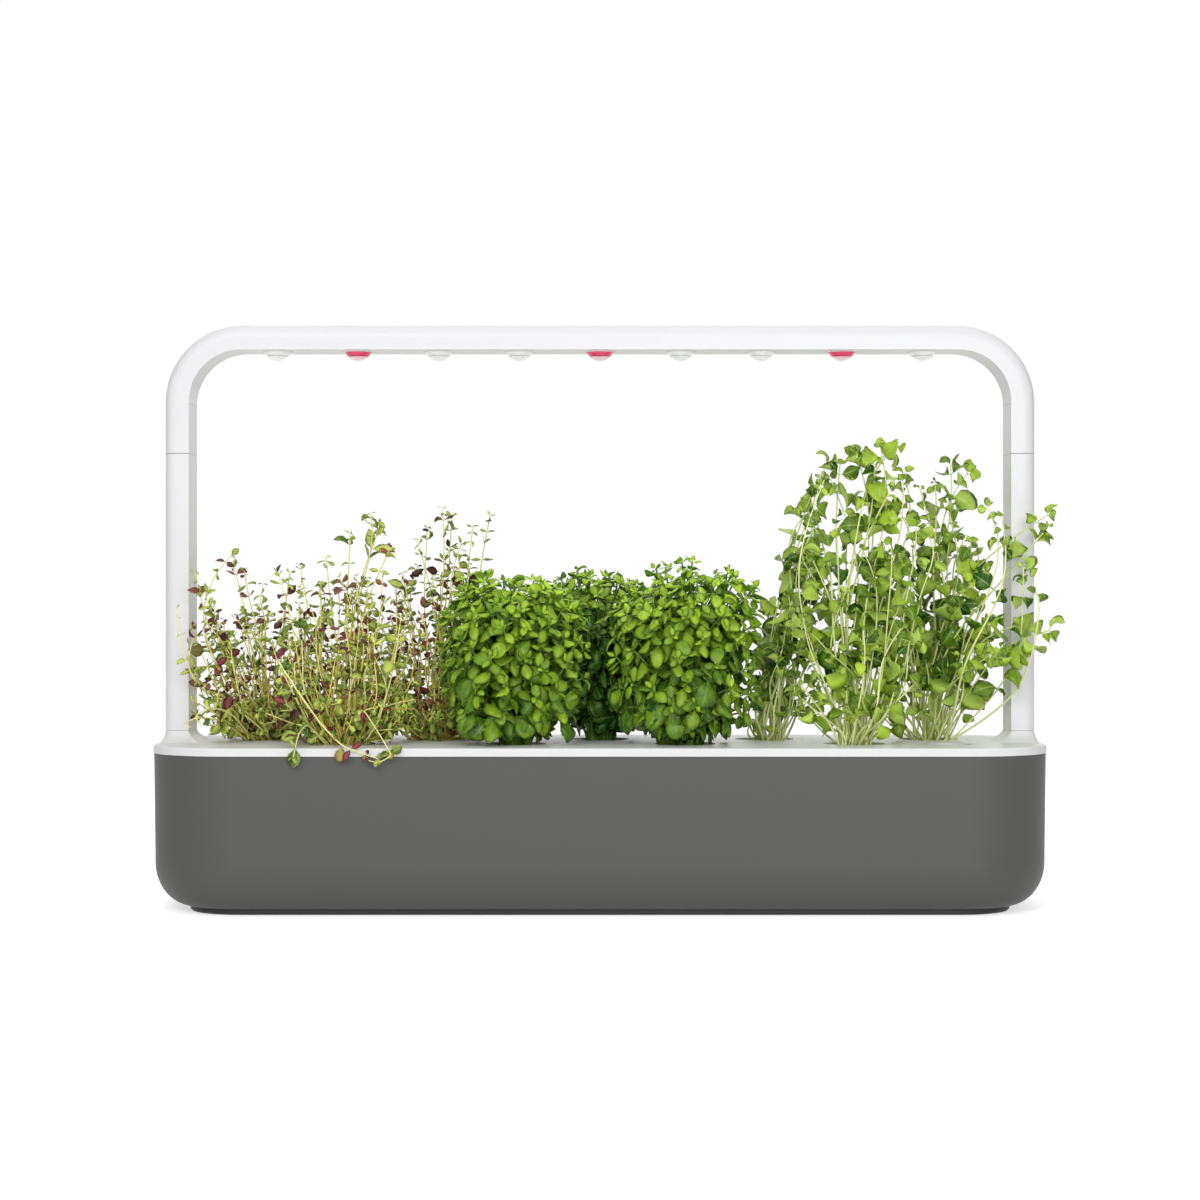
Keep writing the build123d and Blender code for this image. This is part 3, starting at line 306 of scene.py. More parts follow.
def lens_moulding(name, rim, middle):
    """Milky plastic, paler where the dome is thin over its chip and deeper in colour towards its rim.

    It glows faintly in its own colour, a painted glow, though the lamp is off.
    """
    finish, tree, shader, place = new_finish(name)
    split = put(tree, "ShaderNodeSeparateXYZ", {0: place}).outputs
    from_middle = maths(tree, "PINGPONG", split["X"], LENS_PITCH / 2)
    flat = put(tree, "ShaderNodeCombineXYZ", {"X": from_middle, "Y": split["Y"]}).outputs[0]
    reach = put(tree, "ShaderNodeVectorMath", {0: flat}, operation="LENGTH").outputs["Value"]
    span = {"From Min": LENS_MIDDLE, "From Max": LENS_RIM}
    edge = put(tree, "ShaderNodeMapRange", {"Value": reach, **span}).outputs["Result"]
    ring = maths(tree, "COMPARE", reach, LENS_RIM, LENS_RING_HALF)
    tint = blend(tree, ring, blend(tree, edge, middle, rim), [c * 0.7 for c in rim])
    feed(shader, {"Roughness": 0.15, "IOR": 1.49, "Base Color": tint})
    # painted glow: emission in the lens's own colour, though the lamp is off
    feed(shader, {"Emission Color": tint, "Emission Strength": LENS_PAINTED_GLOW})
    return finish


finish_nodes(lens_moulding("lens_clear", (0.95, 0.95, 0.94), (0.98, 0.98, 0.97)), "clear_lenses")
finish_nodes(lens_moulding("lens_red", (0.86, 0.065, 0.18), (0.98, 0.74, 0.78)), "red_lenses")


# ---- pots and growing pods ----------------------------------------------------------------------------
# Thin white moulded baskets that hang by their flanges in the lid's holes. Each holds a plug of dark peat
# and coir, on a flat felt wick that reaches down into the water.
finish_nodes(moulded("pot_white", (0.82, 0.82, 0.81), 0.36, grain=0.08), *[f"pot_{n}" for n in range(1, 10)])
peat = moulded("peat", (0.05, 0.032, 0.02), 0.9, grain=1.0, grain_size=0.0022, cloud=0.5)
finish_nodes(peat, *[f"growing_pod_{n}" for n in range(1, 10)])


# ---- herbs --------------------------------------------------------------------------------------------
# Every herb is a set of shoots from its plug. Leaves stand in opposite pairs, each pair turned a quarter
# from the last; they are closed blades, thin at the edge, and keep clear of the arms, the lamp and the
# neighbouring pots.
POT_BOXES = [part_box(f"pot_{number}") for number in range(1, 10)]
POT_PLACES = [((low.x + high.x) / 2, (low.y + high.y) / 2) for low, high in POT_BOXES]
MOUTH = 0.019  # the radius of a pot's open top
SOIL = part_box("growing_pod_1")[1].z
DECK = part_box("planter_lid")[1].z - 0.0082  # the lid's necks stand that far over its deck
LOWEST_IN_POT, LOWEST_ON_LID, LOWEST_BESIDE = SOIL - 0.002, DECK + 0.0008, 0.085
ARM_BOXES = [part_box(f"{side}_arm_shell") for side in ("left", "right")]
NECK_START = ARM_BOXES[1][0].x - 0.012  # the lid's necks flare inwards from the arms
NECK_HALF = 0.030
NECK_TOP = ARM_BOXES[0][0].z + 0.002
CELL_GAP = 0.0004
ARM_GAP = 0.0015
LANE_HALF = 0.0215
LANE_FLOOR = 0.2735  # low enough that no leaf meets the lamp when a pot is lifted out
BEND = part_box("lamp_middle_cover")[0].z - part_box("lamp_right_cover")[0].z
BEND_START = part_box("right_arm_cover")[0].x - BEND  # where the lamp's inner face starts to bend down
LID_SIDE, LID_FRONT = cad_box[1][0] + 0.001, cad_box[1][1] + 0.0012
FAR_SIDE, FAR_FRONT = cad_box[1][0] + 0.014, cad_box[1][1] + 0.011  # how far a leaf may reach past the lid
UP = np.array((0.0, 0.0, 1.0))


def unit(v):
    return v / max(np.linalg.norm(v), 1e-9)


def allowed(points, pot):
    """True where every point is in this pot's share of the space and clear of arms, lamp, lid and tank."""
    home = np.array(POT_PLACES[pot])
    aside, ahead = np.abs(points[:, 0]), np.abs(points[:, 1])
    height = points[:, 2]
    ok = np.ones(len(points), bool)
    for place in POT_PLACES[:pot] + POT_PLACES[pot + 1 :]:
        away = np.array(place) - home
        span = np.linalg.norm(away)
        ok &= (points[:, :2] - home) @ (away / span) < span / 2 - CELL_GAP
    for low, high in ARM_BOXES:
        in_x = (points[:, 0] > low.x - ARM_GAP) & (points[:, 0] < high.x + ARM_GAP)
        in_y = (points[:, 1] > low.y - ARM_GAP) & (points[:, 1] < high.y + ARM_GAP)
        ok &= ~(in_x & in_y)
    ok &= ~((aside > NECK_START) & (ahead < NECK_HALF) & (height < NECK_TOP))
    drop = BEND - np.sqrt(BEND**2 - np.clip(aside - BEND_START, 0, BEND) ** 2)
    ok &= ~((ahead < LANE_HALF) & (height > LANE_FLOOR - drop))
    over_lid = (aside < LID_SIDE) & (ahead < LID_FRONT)
    in_mouth = np.linalg.norm(points[:, :2] - home, axis=1) < MOUTH
    ok &= height > np.where(over_lid, np.where(in_mouth, LOWEST_IN_POT, LOWEST_ON_LID), LOWEST_BESIDE)
    ok &= (aside < FAR_SIDE) & (ahead < FAR_FRONT)
    return bool(ok.all())


def canopy_tips(node, count, low, inset, rng):
    """Evenly spread points on a clump's surface above low, moved inwards, each with its outward direction."""
    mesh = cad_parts[node].data
    mesh.calc_loop_triangles()
    corners = np.array([[mesh.vertices[v].co for v in t.vertices] for t in mesh.loop_triangles], float)
    middles = corners.mean(1)
    crosses = np.cross(corners[:, 1] - corners[:, 0], corners[:, 2] - corners[:, 0])
    areas = np.linalg.norm(crosses, axis=1) / 2
    areas[middles[:, 2] < low] = 0.0
    picks = rng.choice(len(areas), size=count * 12, p=areas / areas.sum())  # 12 tries for each point
    weights = rng.dirichlet((1.0, 1.0, 1.0), size=len(picks))
    points = (corners[picks] * weights[:, :, None]).sum(1)
    outwards = crosses[picks] / np.maximum(np.linalg.norm(crosses[picks], axis=1), 1e-12)[:, None]
    chosen = [0]
    nearest = np.linalg.norm(points - points[0], axis=1)
    while len(chosen) < count:
        nearest = np.minimum(nearest, np.linalg.norm(points - points[chosen[-1]], axis=1))
        chosen.append(int(nearest.argmax()))
    return [(points[i] - outwards[i] * inset * rng.uniform(0.5, 1.6), outwards[i]) for i in chosen]


def arched(base, tip, out, lift, steps):
    """A shoot's line: its knee is out of the way from base to tip, and lift of the way up."""
    knee = base + (tip - base) * np.array((out, out, lift))
    share = np.linspace(0.0, 1.0, steps)[:, None]
    return (1 - share) ** 2 * base + 2 * share * (1 - share) * knee + share**2 * tip


ATTRIBUTES = {  # what a herb's points carry, and the value where none is given
    "girth": ("FLOAT", 0.0),
    "is_leaf": ("FLOAT", 0.0),
    "tone": ("FLOAT", 0.5),
    "age": ("FLOAT", 0.5),
    "turn": ("FLOAT_VECTOR", (0.0, 0.0, 0.0)),
    "stretch": ("FLOAT_VECTOR", (1.0, 1.0, 1.0)),
    "kind": ("INT", 0),
}


class Herb:
    """The lines and leaves of one plant, gathered as points before its mesh is made."""

    def __init__(self, outlines):
        self.outlines = outlines
        self.points, self.edges = [], []
        self.values = {attribute: [] for attribute in ATTRIBUTES}

    def point(self, place, **given):
        """One point and what it carries. Returns its number."""
        self.points.append(tuple(place))
        for attribute, (_, usual) in ATTRIBUTES.items():
            self.values[attribute].append(given.get(attribute, usual))
        return len(self.points) - 1

    def shoot(self, line, thick, thin, tone):
        """A tapering stem along a line."""
        last = None
        for number, place in enumerate(line):
            share = number / (len(line) - 1)
            here = self.point(place, girth=thick + (thin - thick) * share, tone=tone)
            if last is not None:
                self.edges.append((last, here))
            last = here

    def leaf(self, pot, place, along, face, length, width, kind, tone, age):
        """One blade from place, growing along, its upper side towards face; False if it has no room."""
        face = unit(face - along * np.dot(face, along))
        side = np.cross(along, face)
        stretch = (length * width, length, length)
        reach = place + (self.outlines[kind] * stretch) @ np.array((side, along, face))
        if not allowed(reach, pot):
            return False
        turn = tuple(Matrix((side, along, face)).transposed().to_euler())
        self.point(place, is_leaf=1.0, turn=turn, stretch=stretch, kind=kind, tone=tone, age=age)
        return True


STALK_HALF = 0.022  # half a stalk's width, where a blade is one unit long


def leaf_blade(name, rows, columns, stalk, belly, point, thickness, cup, droop, twist, ripple):
    """A closed leaf blade, one unit long: a stalk, then a blade that is widest at belly.

    cup lifts its margins, droop bends it back along its length, twist turns it about its midrib and
    ripple waves its margins. Returns the blade and points round its outline.
    """
    grid = bmesh.new()
    blade = grid.verts.layers.float_vector.new("blade")
    levels = [0.0] + [stalk * 0.9 + (1 - stalk * 0.9) * i / (rows - 1) for i in range(rows)]

    def half_width(v):
        if v <= stalk:
            return STALK_HALF
        share = (v - stalk) / (1 - stalk)
        swell = math.sin(math.pi * share ** (math.log(0.5) / math.log(belly)))
        return max(0.5 * max(swell, 0.0) ** point, STALK_HALF if share < 0.5 else 0.0)

    rib, angles = [(0.0, 0.0)], [0.0]
    for lower, upper in zip(levels, levels[1:]):
        angle = -droop * max(upper - stalk, 0.0) / (1 - stalk)
        middle = (angle + angles[-1]) / 2
        (y, z), step = rib[-1], upper - lower
        rib.append((y + math.cos(middle) * step, z + math.sin(middle) * step))
        angles.append(angle)
    sheets, outline = [], []
    for layer in (1, -1):
        sheet = []
        for v, (y, z), angle in zip(levels, rib, angles):
            row = []
            turn = twist * v
            for column in range(columns):
                u = -1 + 2 * column / (columns - 1)
                x = u * half_width(v)
                rise = cup * abs(x) ** 1.6 + ripple * u * math.sin(9.0 * v) * half_width(v) * 2
                rise += thickness * (1 - u * u) * layer * (1.0 if 0.0 < v < 1.0 else 0.0)
                across, lifted = math.cos(turn), math.sin(turn)
                x, rise = x * across - rise * lifted, x * lifted + rise * across
                place = (x, y - math.sin(angle) * rise, z + math.cos(angle) * rise)
                vert = grid.verts.new(place)
                vert[blade] = Vector((u, v, float(layer)))
                row.append(vert)
                if layer > 0 and v > stalk and (abs(u) == 1 or v == levels[-1]):
                    outline.append(place)
            sheet.append(row)
        sheets.append(sheet)
    for sheet, layer in zip(sheets, (1, -1)):
        for lower, upper in zip(sheet, sheet[1:]):
            for i in range(columns - 1):
                corners = [lower[i], lower[i + 1], upper[i + 1], upper[i]]
                grid.faces.new(corners if layer > 0 else corners[::-1])
    bmesh.ops.remove_doubles(grid, verts=grid.verts[:], dist=1e-5)
    bmesh.ops.dissolve_degenerate(grid, edges=grid.edges[:], dist=1e-6)
    mesh = bpy.data.meshes.new(name)
    grid.to_mesh(mesh)
    grid.free()
    mesh.polygons.foreach_set("use_smooth", [True] * len(mesh.polygons))
    return bpy.data.objects.new(name, mesh), np.array(outline)


BENDS = ("cup", "droop", "twist", "ripple")


def leaf_blades(name, bends, **shape):
    """A herb's blades, one for each set of bends, and their outlines."""
    blades, outlines = bpy.data.collections.new(name), []
    for number, bend in enumerate(bends):
        blade, outline = leaf_blade(f"{name}_{number}", **shape, **dict(zip(BENDS, bend)))
        blades.objects.link(blade)
        outlines.append(outline)
    return blades, outlines


def shoot_tree(name, leaf_skin, stem_skin):
    """Geometry Nodes that give a herb's lines their round stems and its leaf points their blades."""
    tree = bpy.data.node_groups.new(name, "GeometryNodeTree")
    sockets = []
    for label, way, kind in (
        ("Geometry", "INPUT", "NodeSocketGeometry"),
        ("Leaves", "INPUT", "NodeSocketCollection"),
        ("Stem Sides", "INPUT", "NodeSocketInt"),
        ("Geometry", "OUTPUT", "NodeSocketGeometry"),
    ):
        sockets.append(tree.interface.new_socket(label, in_out=way, socket_type=kind).identifier)
    given = put(tree, "NodeGroupInput").outputs
    end = put(tree, "NodeGroupOutput")

    def named(attribute):
        node = "GeometryNodeInputNamedAttribute"
        return put(tree, node, {"Name": attribute}, data_type=ATTRIBUTES[attribute][0]).outputs["Attribute"]

    def made(kind, output, **inputs):
        inputs = {socket.replace("_", " "): value for socket, value in inputs.items()}
        return put(tree, kind, inputs).outputs[output]

    parting = {"Geometry": given["Geometry"], "Selection": named("is_leaf")}
    parted = put(tree, "GeometryNodeSeparateGeometry", parting).outputs
    lines = made("GeometryNodeMeshToCurve", "Curve", Mesh=parted["Inverted"])
    ring = made("GeometryNodeCurvePrimitiveCircle", "Curve", Radius=1.0, Resolution=given["Stem Sides"])
    tubes = made(
        "GeometryNodeCurveToMesh", "Mesh",
        Curve=lines, Profile_Curve=ring, Scale=named("girth"), Fill_Caps=True,
    )
    stems = made("GeometryNodeSetMaterial", "Geometry", Geometry=tubes, Material=stem_skin)
    spots = made("GeometryNodeMeshToPoints", "Points", Mesh=parted["Selection"])
    blades = made(
        "GeometryNodeCollectionInfo", "Instances",
        Collection=given["Leaves"], Separate_Children=True, Reset_Children=True,
    )
    rotation = made("FunctionNodeEulerToRotation", "Rotation", Euler=named("turn"))
    set_out = made(
        "GeometryNodeInstanceOnPoints", "Instances",
        Points=spots, Instance=blades, Pick_Instance=True, Instance_Index=named("kind"),
        Rotation=rotation, Scale=named("stretch"),
    )
    real = made("GeometryNodeRealizeInstances", "Geometry", Geometry=set_out)
    leaves = made("GeometryNodeSetMaterial", "Geometry", Geometry=real, Material=leaf_skin)
    whole = put(tree, "GeometryNodeJoinGeometry", {"Geometry": stems})
    feed(whole, {"Geometry": leaves})
    feed(end, {"Geometry": whole.outputs["Geometry"]})
    return tree, sockets[1:3]


def raise_herb(herb, node, tree, sockets, blades, sides):
    """Makes a plant's mesh from its points, runs its nodes once and seats the plain result on its pot."""
    points = bpy.data.meshes.new(f"{node}_points")
    points.from_pydata(herb.points, herb.edges, [])
    for attribute, (kind, _) in ATTRIBUTES.items():
        layer = points.attributes.new(attribute, kind, "POINT")
        values = np.array(herb.values[attribute], np.int32 if kind == "INT" else np.float32)
        layer.data.foreach_set("vector" if kind == "FLOAT_VECTOR" else "value", values.ravel())
    holder = bpy.data.objects.new(f"{node}_points", points)
    scene.collection.objects.link(holder)
    grow = holder.modifiers.new("grow", "NODES")
    grow.node_group = tree
    grow[sockets[0]], grow[sockets[1]] = blades, sides
    evaluated = holder.evaluated_get(bpy.context.evaluated_depsgraph_get())
    mesh = bpy.data.meshes.new_from_object(evaluated)
    bpy.data.objects.remove(holder)
    mesh.name = f"{node}_plant"
    mesh.polygons.foreach_set("use_smooth", [True] * len(mesh.polygons))
    plant = bpy.data.objects.new(f"{node}_plant", mesh)
    scene.collection.objects.link(plant)
    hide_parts(node)
    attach(plant, f"{node}_pot")


def leaf_finish(name, dark, light, under, vein, aged=None, gloss=0.42, gleam=0.25, veins=9.0):
    """A leaf's skin: its tone runs from dark to light, its veins are paler and its back has its own colour.

    aged gives the dark and the light of leaves that have turned.
    """
    finish, tree, shader, place = new_finish(name)

    def read(attribute, output="Fac"):
        return put(tree, "ShaderNodeAttribute", attribute_name=attribute).outputs[output]

    blade = put(tree, "ShaderNodeSeparateXYZ", {0: read("blade", "Vector")}).outputs
    across = maths(tree, "ABSOLUTE", blade["X"])
    mottle = put(tree, "ShaderNodeTexNoise", {"Vector": place, "Scale": 160.0}).outputs["Fac"]
    uneven = maths(tree, "MULTIPLY", maths(tree, "SUBTRACT", mottle, 0.5), 0.6)
    tone = maths(tree, "ADD", read("tone"), uneven)
    slant = maths(tree, "SUBTRACT", blade["Y"], maths(tree, "MULTIPLY", across, 0.22))
    ribs = maths(tree, "PINGPONG", maths(tree, "MULTIPLY", slant, veins), 0.5)
    side_vein = maths(tree, "MULTIPLY", maths(tree, "LESS_THAN", ribs, 0.06), 0.13)
    midrib = maths(tree, "MULTIPLY", maths(tree, "LESS_THAN", across, 0.07), 0.4)
    skin = blend(tree, maths(tree, "MAXIMUM", side_vein, midrib), blend(tree, tone, dark, light), vein)
    back = maths(tree, "MULTIPLY", maths(tree, "LESS_THAN", blade["Z"], 0.0), 0.7)
    skin = blend(tree, back, skin, under)
    if aged:
        skin = blend(tree, read("age"), skin, blend(tree, tone, *aged))
    depth = {"Strength": 0.35, "Distance": 0.0004}
    relief = put(tree, "ShaderNodeBump", {"Height": ribs, **depth}).outputs["Normal"]
    feed(shader, {"Roughness": gloss, "Specular IOR Level": gleam, "Base Color": skin, "Normal": relief})
    return finish


def stem_finish(name, pale, dark):
    """A stem's skin: dark to pale by its tone, with a fine mottle."""
    finish, tree, shader, place = new_finish(name)
    tone = put(tree, "ShaderNodeAttribute", attribute_name="tone").outputs["Fac"]
    mottle = put(tree, "ShaderNodeTexNoise", {"Vector": place, "Scale": 220.0}).outputs["Fac"]
    skin = blend(tree, maths(tree, "MULTIPLY_ADD", mottle, 0.35, tone), dark, pale)
    feed(shader, {"Roughness": 0.5, "Specular IOR Level": 0.2, "Base Color": skin})
    return finish


def soil_point(pot, radius, rng, towards=None, bias=0.0):
    """A place on the plug for a stem to come out of, drawn by bias to the side that it leans to."""
    angle, share = rng.uniform(0, 2 * math.pi), math.sqrt(rng.uniform(0, 1))
    middle = np.array((*POT_PLACES[pot], SOIL - 0.001))
    spot = np.array((math.cos(angle), math.sin(angle), 0.0)) * share
    if towards is not None:
        lean = (towards - middle) * np.array((1.0, 1.0, 0.0)) / 0.05
        spot = spot * (1 - bias) + lean / max(np.linalg.norm(lean), 1.0) * bias
    return middle + spot * radius


def wandering(line, sway, rng):
    """The same line with slow swings to the sides, and none at its ends."""
    share = np.linspace(0.0, 1.0, len(line))[:, None]
    level = np.array((1.0, 1.0, 0.3))
    for waves in (1, 2, 3):
        line = line + np.sin(math.pi * waves * share) * rng.normal(0, sway / waves, 3) * level
    return line


def eased(bends):
    """A line through given bends, rounded off at each of them."""
    bends = np.array(bends, float)
    share = np.linspace(0, len(bends) - 1, 5 * len(bends))
    line = np.stack([np.interp(share, np.arange(len(bends)), bends[:, k]) for k in range(3)], 1)
    for _ in range(3):
        line[1:-1] = (line[:-2] + 2 * line[1:-1] + line[2:]) / 4
    return line


def grown(pot, tip, spread, out, lift, sway, steps, rng):
    """A shoot's line from the plug to its tip, drawn in towards the pot until it has room, if it ever has.

    The sway is a share of the shoot's length.
    """
    middle = np.array((*POT_PLACES[pot], 0.0))
    for _ in range(10):
        base = soil_point(pot, spread, rng, tip, 0.5)
        reach = np.linalg.norm(tip - base)
        line = wandering(arched(base, tip, rng.uniform(*out), rng.uniform(*lift), steps), sway * reach, rng)
        if allowed(line[1:], pot):
            return line
        tip = tip * 0.93 + np.array((*middle[:2], tip[2])) * 0.07
    return None


def along_line(line):
    """A line's length, and a function that gives the place and direction at a distance from its tip."""
    steps = np.linalg.norm(np.diff(line, axis=0), axis=1)
    lengths = np.concatenate(([0], np.cumsum(steps)))

    def at(away):
        spot = lengths[-1] - away
        place = np.array([np.interp(spot, lengths, line[:, k]) for k in range(3)])
        step = min(int(np.searchsorted(lengths, spot)), len(line) - 1)
        return place, unit(line[max(step, 1)] - line[max(step, 1) - 1])

    return lengths[-1], at


def pair_of_leaves(herb, pot, place, tangent, azimuth, face, rise, length, width, loose, tone, age, rng):
    """Two leaves opposite each other on a stem; rise lifts them towards its tip, loose lets them differ."""
    across = unit(np.cross(tangent, (math.cos(azimuth), math.sin(azimuth), 0.13)))
    for direction in (across, -across):
        along = unit(direction * math.cos(rise) + tangent * math.sin(rise) + rng.normal(0, loose, 3))
        size = length * rng.uniform(0.8, 1.12)
        tilt = unit(face + rng.normal(0, loose + 0.1, 3))
        shade = min(max(tone + rng.normal(0, 0.08), 0.0), 1.0)
        kind = int(rng.integers(len(herb.outlines)))
        for shrink in (1.0, 0.75, 0.55):
            if herb.leaf(pot, place, along, tilt, size * shrink, width, kind, shade, age):
                break


# ---- thyme --------------------------------------------------------------------------------------------
# Thyme: wiry yellow stems, nearly upright, with slim leaves in pairs, yellow green near the tips and many
# of them wine red lower down. A mat of short, rounder-leaved shoots covers the plug, and a few long
# runners lean over the rim.
thyme_blades, thyme_outlines = leaf_blades(
    "thyme_blade",
    bends=[(0.35, 0.3, 0.0, 0.0), (0.6, 1.0, 0.4, 0.0), (0.2, -0.3, -0.5, 0.0), (-0.3, 0.8, 0.2, 0.0)],
    rows=5, columns=3, stalk=0.07, belly=0.48, point=0.8, thickness=0.02,
)
thyme_tree, thyme_sockets = shoot_tree(
    "thyme_shoots",
    leaf_finish(
        "thyme_leaf_skin",
        dark=(0.034, 0.115, 0.014),
        light=(0.77, 0.90, 0.16),
        under=(0.48, 0.62, 0.14),
        vein=(0.56, 0.66, 0.20),
        aged=((0.050, 0.007, 0.016), (0.30, 0.028, 0.075)),
        veins=3.0,
    ),
    stem_finish("thyme_stem_skin", pale=(0.96, 0.96, 0.36), dark=(0.92, 0.62, 0.06)),
)


def thyme_leaves(
    herb, pot, line, leafy, outward, red, rng, first=0.0022, widest=0.013, large=0.0098, slim=0.34
):
    """Pairs of leaves down a thyme stem from its tip, further and further apart, over its leafy share.

    red is the share of wine red leaves, first and widest the gaps between pairs, slim the leaves' width.
    """
    total, at = along_line(line)
    away, gap, turn, number = 0.0, first, rng.uniform(0, math.pi), 0
    while away < total * leafy:
        place, tangent = at(away)
        wine = rng.uniform() < red * (0.4 + 0.6 * min(number / 3, 1.0))
        size = large * rng.uniform(0.6, 1.1) * (0.5 + 0.5 * min(number / 2, 1.0))
        width = rng.uniform(0.42, 0.62) if wine else slim * rng.uniform(0.75, 1.4)
        if rng.uniform() < 0.08:
            size, width = size * 1.3, max(width, 0.55)
        face = unit(UP * 0.5 + outward * 0.4 + np.array((0, -0.35, 0)) + rng.normal(0, 0.5, 3))
        tone = rng.uniform(0.0, 1.0) ** 1.2 * 0.9 + 0.15 * (number < 3)
        age = rng.uniform(0.8, 1.0) if wine else rng.uniform(0.0, 0.08)
        pair_of_leaves(
            herb, pot, place, tangent, turn, face, rise=rng.uniform(-0.35, 0.95), length=size, width=width,
            loose=0.24, tone=tone, age=age, rng=rng,
        )
        turn += math.pi / 2 + rng.normal(0, 0.25)
        gap = min(gap * 1.65, widest)
        away += gap * rng.uniform(0.75, 1.3)
        number += 1


THYME_EDGE = -0.280  # shoots that reach further past the left arm than this are left out
MAT_REACH = 0.058


def thyme(node, pot, seed, shoots, mat, sprigs, runners=(), hanging=()):
    """A thyme of shoots and a mat of short ones; its sprigs, runners and hanging leaves are listed."""
    rng = np.random.default_rng(seed)
    herb = Herb(thyme_outlines)
    middle = np.array((*POT_PLACES[pot], SOIL))
    for tip, outward in canopy_tips(node, shoots, SOIL + 0.020, 0.006, rng):
        share = rng.uniform(0.45, 1.0) if rng.uniform() < 0.4 else 1.0
        line = grown(
            pot, middle + (tip - middle) * share, spread=0.0182, out=(0.2, 1.1), lift=(0.2, 0.6), sway=0.045,
            steps=17, rng=rng,
        )
        if line is None or line[:, 0].min() < THYME_EDGE:
            continue
        herb.shoot(line, thick=rng.uniform(0.00060, 0.00085), thin=0.00036, tone=rng.uniform(0.1, 1.0))
        leafy, red = rng.choice((0.15, 0.45, 0.65)), rng.choice((0.05, 0.3, 0.8))
        thyme_leaves(herb, pot, line, leafy, outward, red, rng)
    for tip in sprigs:
        line = grown(
            pot, np.array(tip), spread=0.0175, out=(0.2, 0.9), lift=(0.3, 0.6), sway=0.032, steps=19, rng=rng
        )
        if line is None:
            continue
        herb.shoot(line, thick=0.00072, thin=0.00036, tone=rng.uniform(0.4, 1.0))
        red = rng.uniform(0.1, 0.5)
        thyme_leaves(herb, pot, line, 0.6, UP, red, rng, widest=0.0155, large=0.0112, slim=0.3)
    for _ in range(mat):
        angle, reach = rng.uniform(0, 2 * math.pi), MAT_REACH * math.sqrt(rng.uniform(0.08, 1))
        tip = middle + np.array((math.cos(angle) * reach, math.sin(angle) * reach, rng.uniform(0.006, 0.034)))
        line = grown(pot, tip, spread=0.0182, out=(0.1, 0.9), lift=(0.5, 1.4), sway=0.07, steps=11, rng=rng)
        if line is None or line[:, 0].min() < THYME_EDGE:
            continue
        herb.shoot(line, thick=0.0007, thin=0.0004, tone=rng.uniform(0.2, 1.0))
        outward = unit(tip - middle)
        thyme_leaves(
            herb, pot, line, 0.75, outward, 0.22, rng, first=0.003, widest=0.010, large=0.0092, slim=0.66
        )
    for bends, thick, large in runners:
        line = eased(bends)
        herb.shoot(line, thick=thick, thin=0.0004, tone=rng.uniform(0.6, 1.0))
        front = np.array((0, -1.0, 0))
        thyme_leaves(
            herb, pot, line, 0.85, front, 0.15, rng, first=0.004, widest=0.019, large=large, slim=0.62
        )
    for place, along, length, width, tone, age in hanging:
        along, face = unit(np.array(along)), np.array((0, -1.0, 0.2))
        for shrink in (1.0, 0.8, 0.6):
            if herb.leaf(pot, place, along, face, length * shrink, width, 0, tone, age):
                break
    raise_herb(herb, node, thyme_tree, thyme_sockets, thyme_blades, sides=4)


thyme(
    "thyme_1", 0, seed=11, shoots=105, mat=50,
    sprigs=[
        (-0.262, 0.052, 0.236), (-0.250, 0.020, 0.231), (-0.219, 0.030, 0.230), (-0.240, 0.045, 0.222),
        (-0.274, -0.050, 0.230), (-0.268, -0.048, 0.216), (-0.262, -0.044, 0.206),
    ],
    runners=[
        ([(-0.246, 0.014, 0.110), (-0.256, -0.012, 0.150), (-0.268, -0.036, 0.180), (-0.270, -0.044, 0.206),
          (-0.262, -0.038, 0.228), (-0.252, -0.030, 0.241)], 0.0007, 0.010),
        ([(-0.244, 0.012, 0.110), (-0.258, -0.030, 0.128), (-0.270, -0.062, 0.132), (-0.278, -0.076, 0.128),
          (-0.272, -0.082, 0.126)], 0.0008, 0.014),
        ([(-0.240, 0.012, 0.110), (-0.252, -0.034, 0.134), (-0.262, -0.066, 0.139), (-0.270, -0.080, 0.133),
          (-0.264, -0.086, 0.127)], 0.0007, 0.013),
        ([(-0.248, 0.014, 0.110), (-0.262, -0.024, 0.140), (-0.276, -0.056, 0.160), (-0.283, -0.062, 0.184),
          (-0.284, -0.060, 0.206)], 0.0006, 0.006),
    ],
    hanging=[
        ((-0.268, -0.044, 0.176), (-0.8, -0.5, 0.1), 0.012, 0.85, 0.3, 0.6),
        ((-0.252, -0.030, 0.241), (0.5, 0.0, 0.5), 0.007, 0.7, 0.5, 0.0),
    ],
)
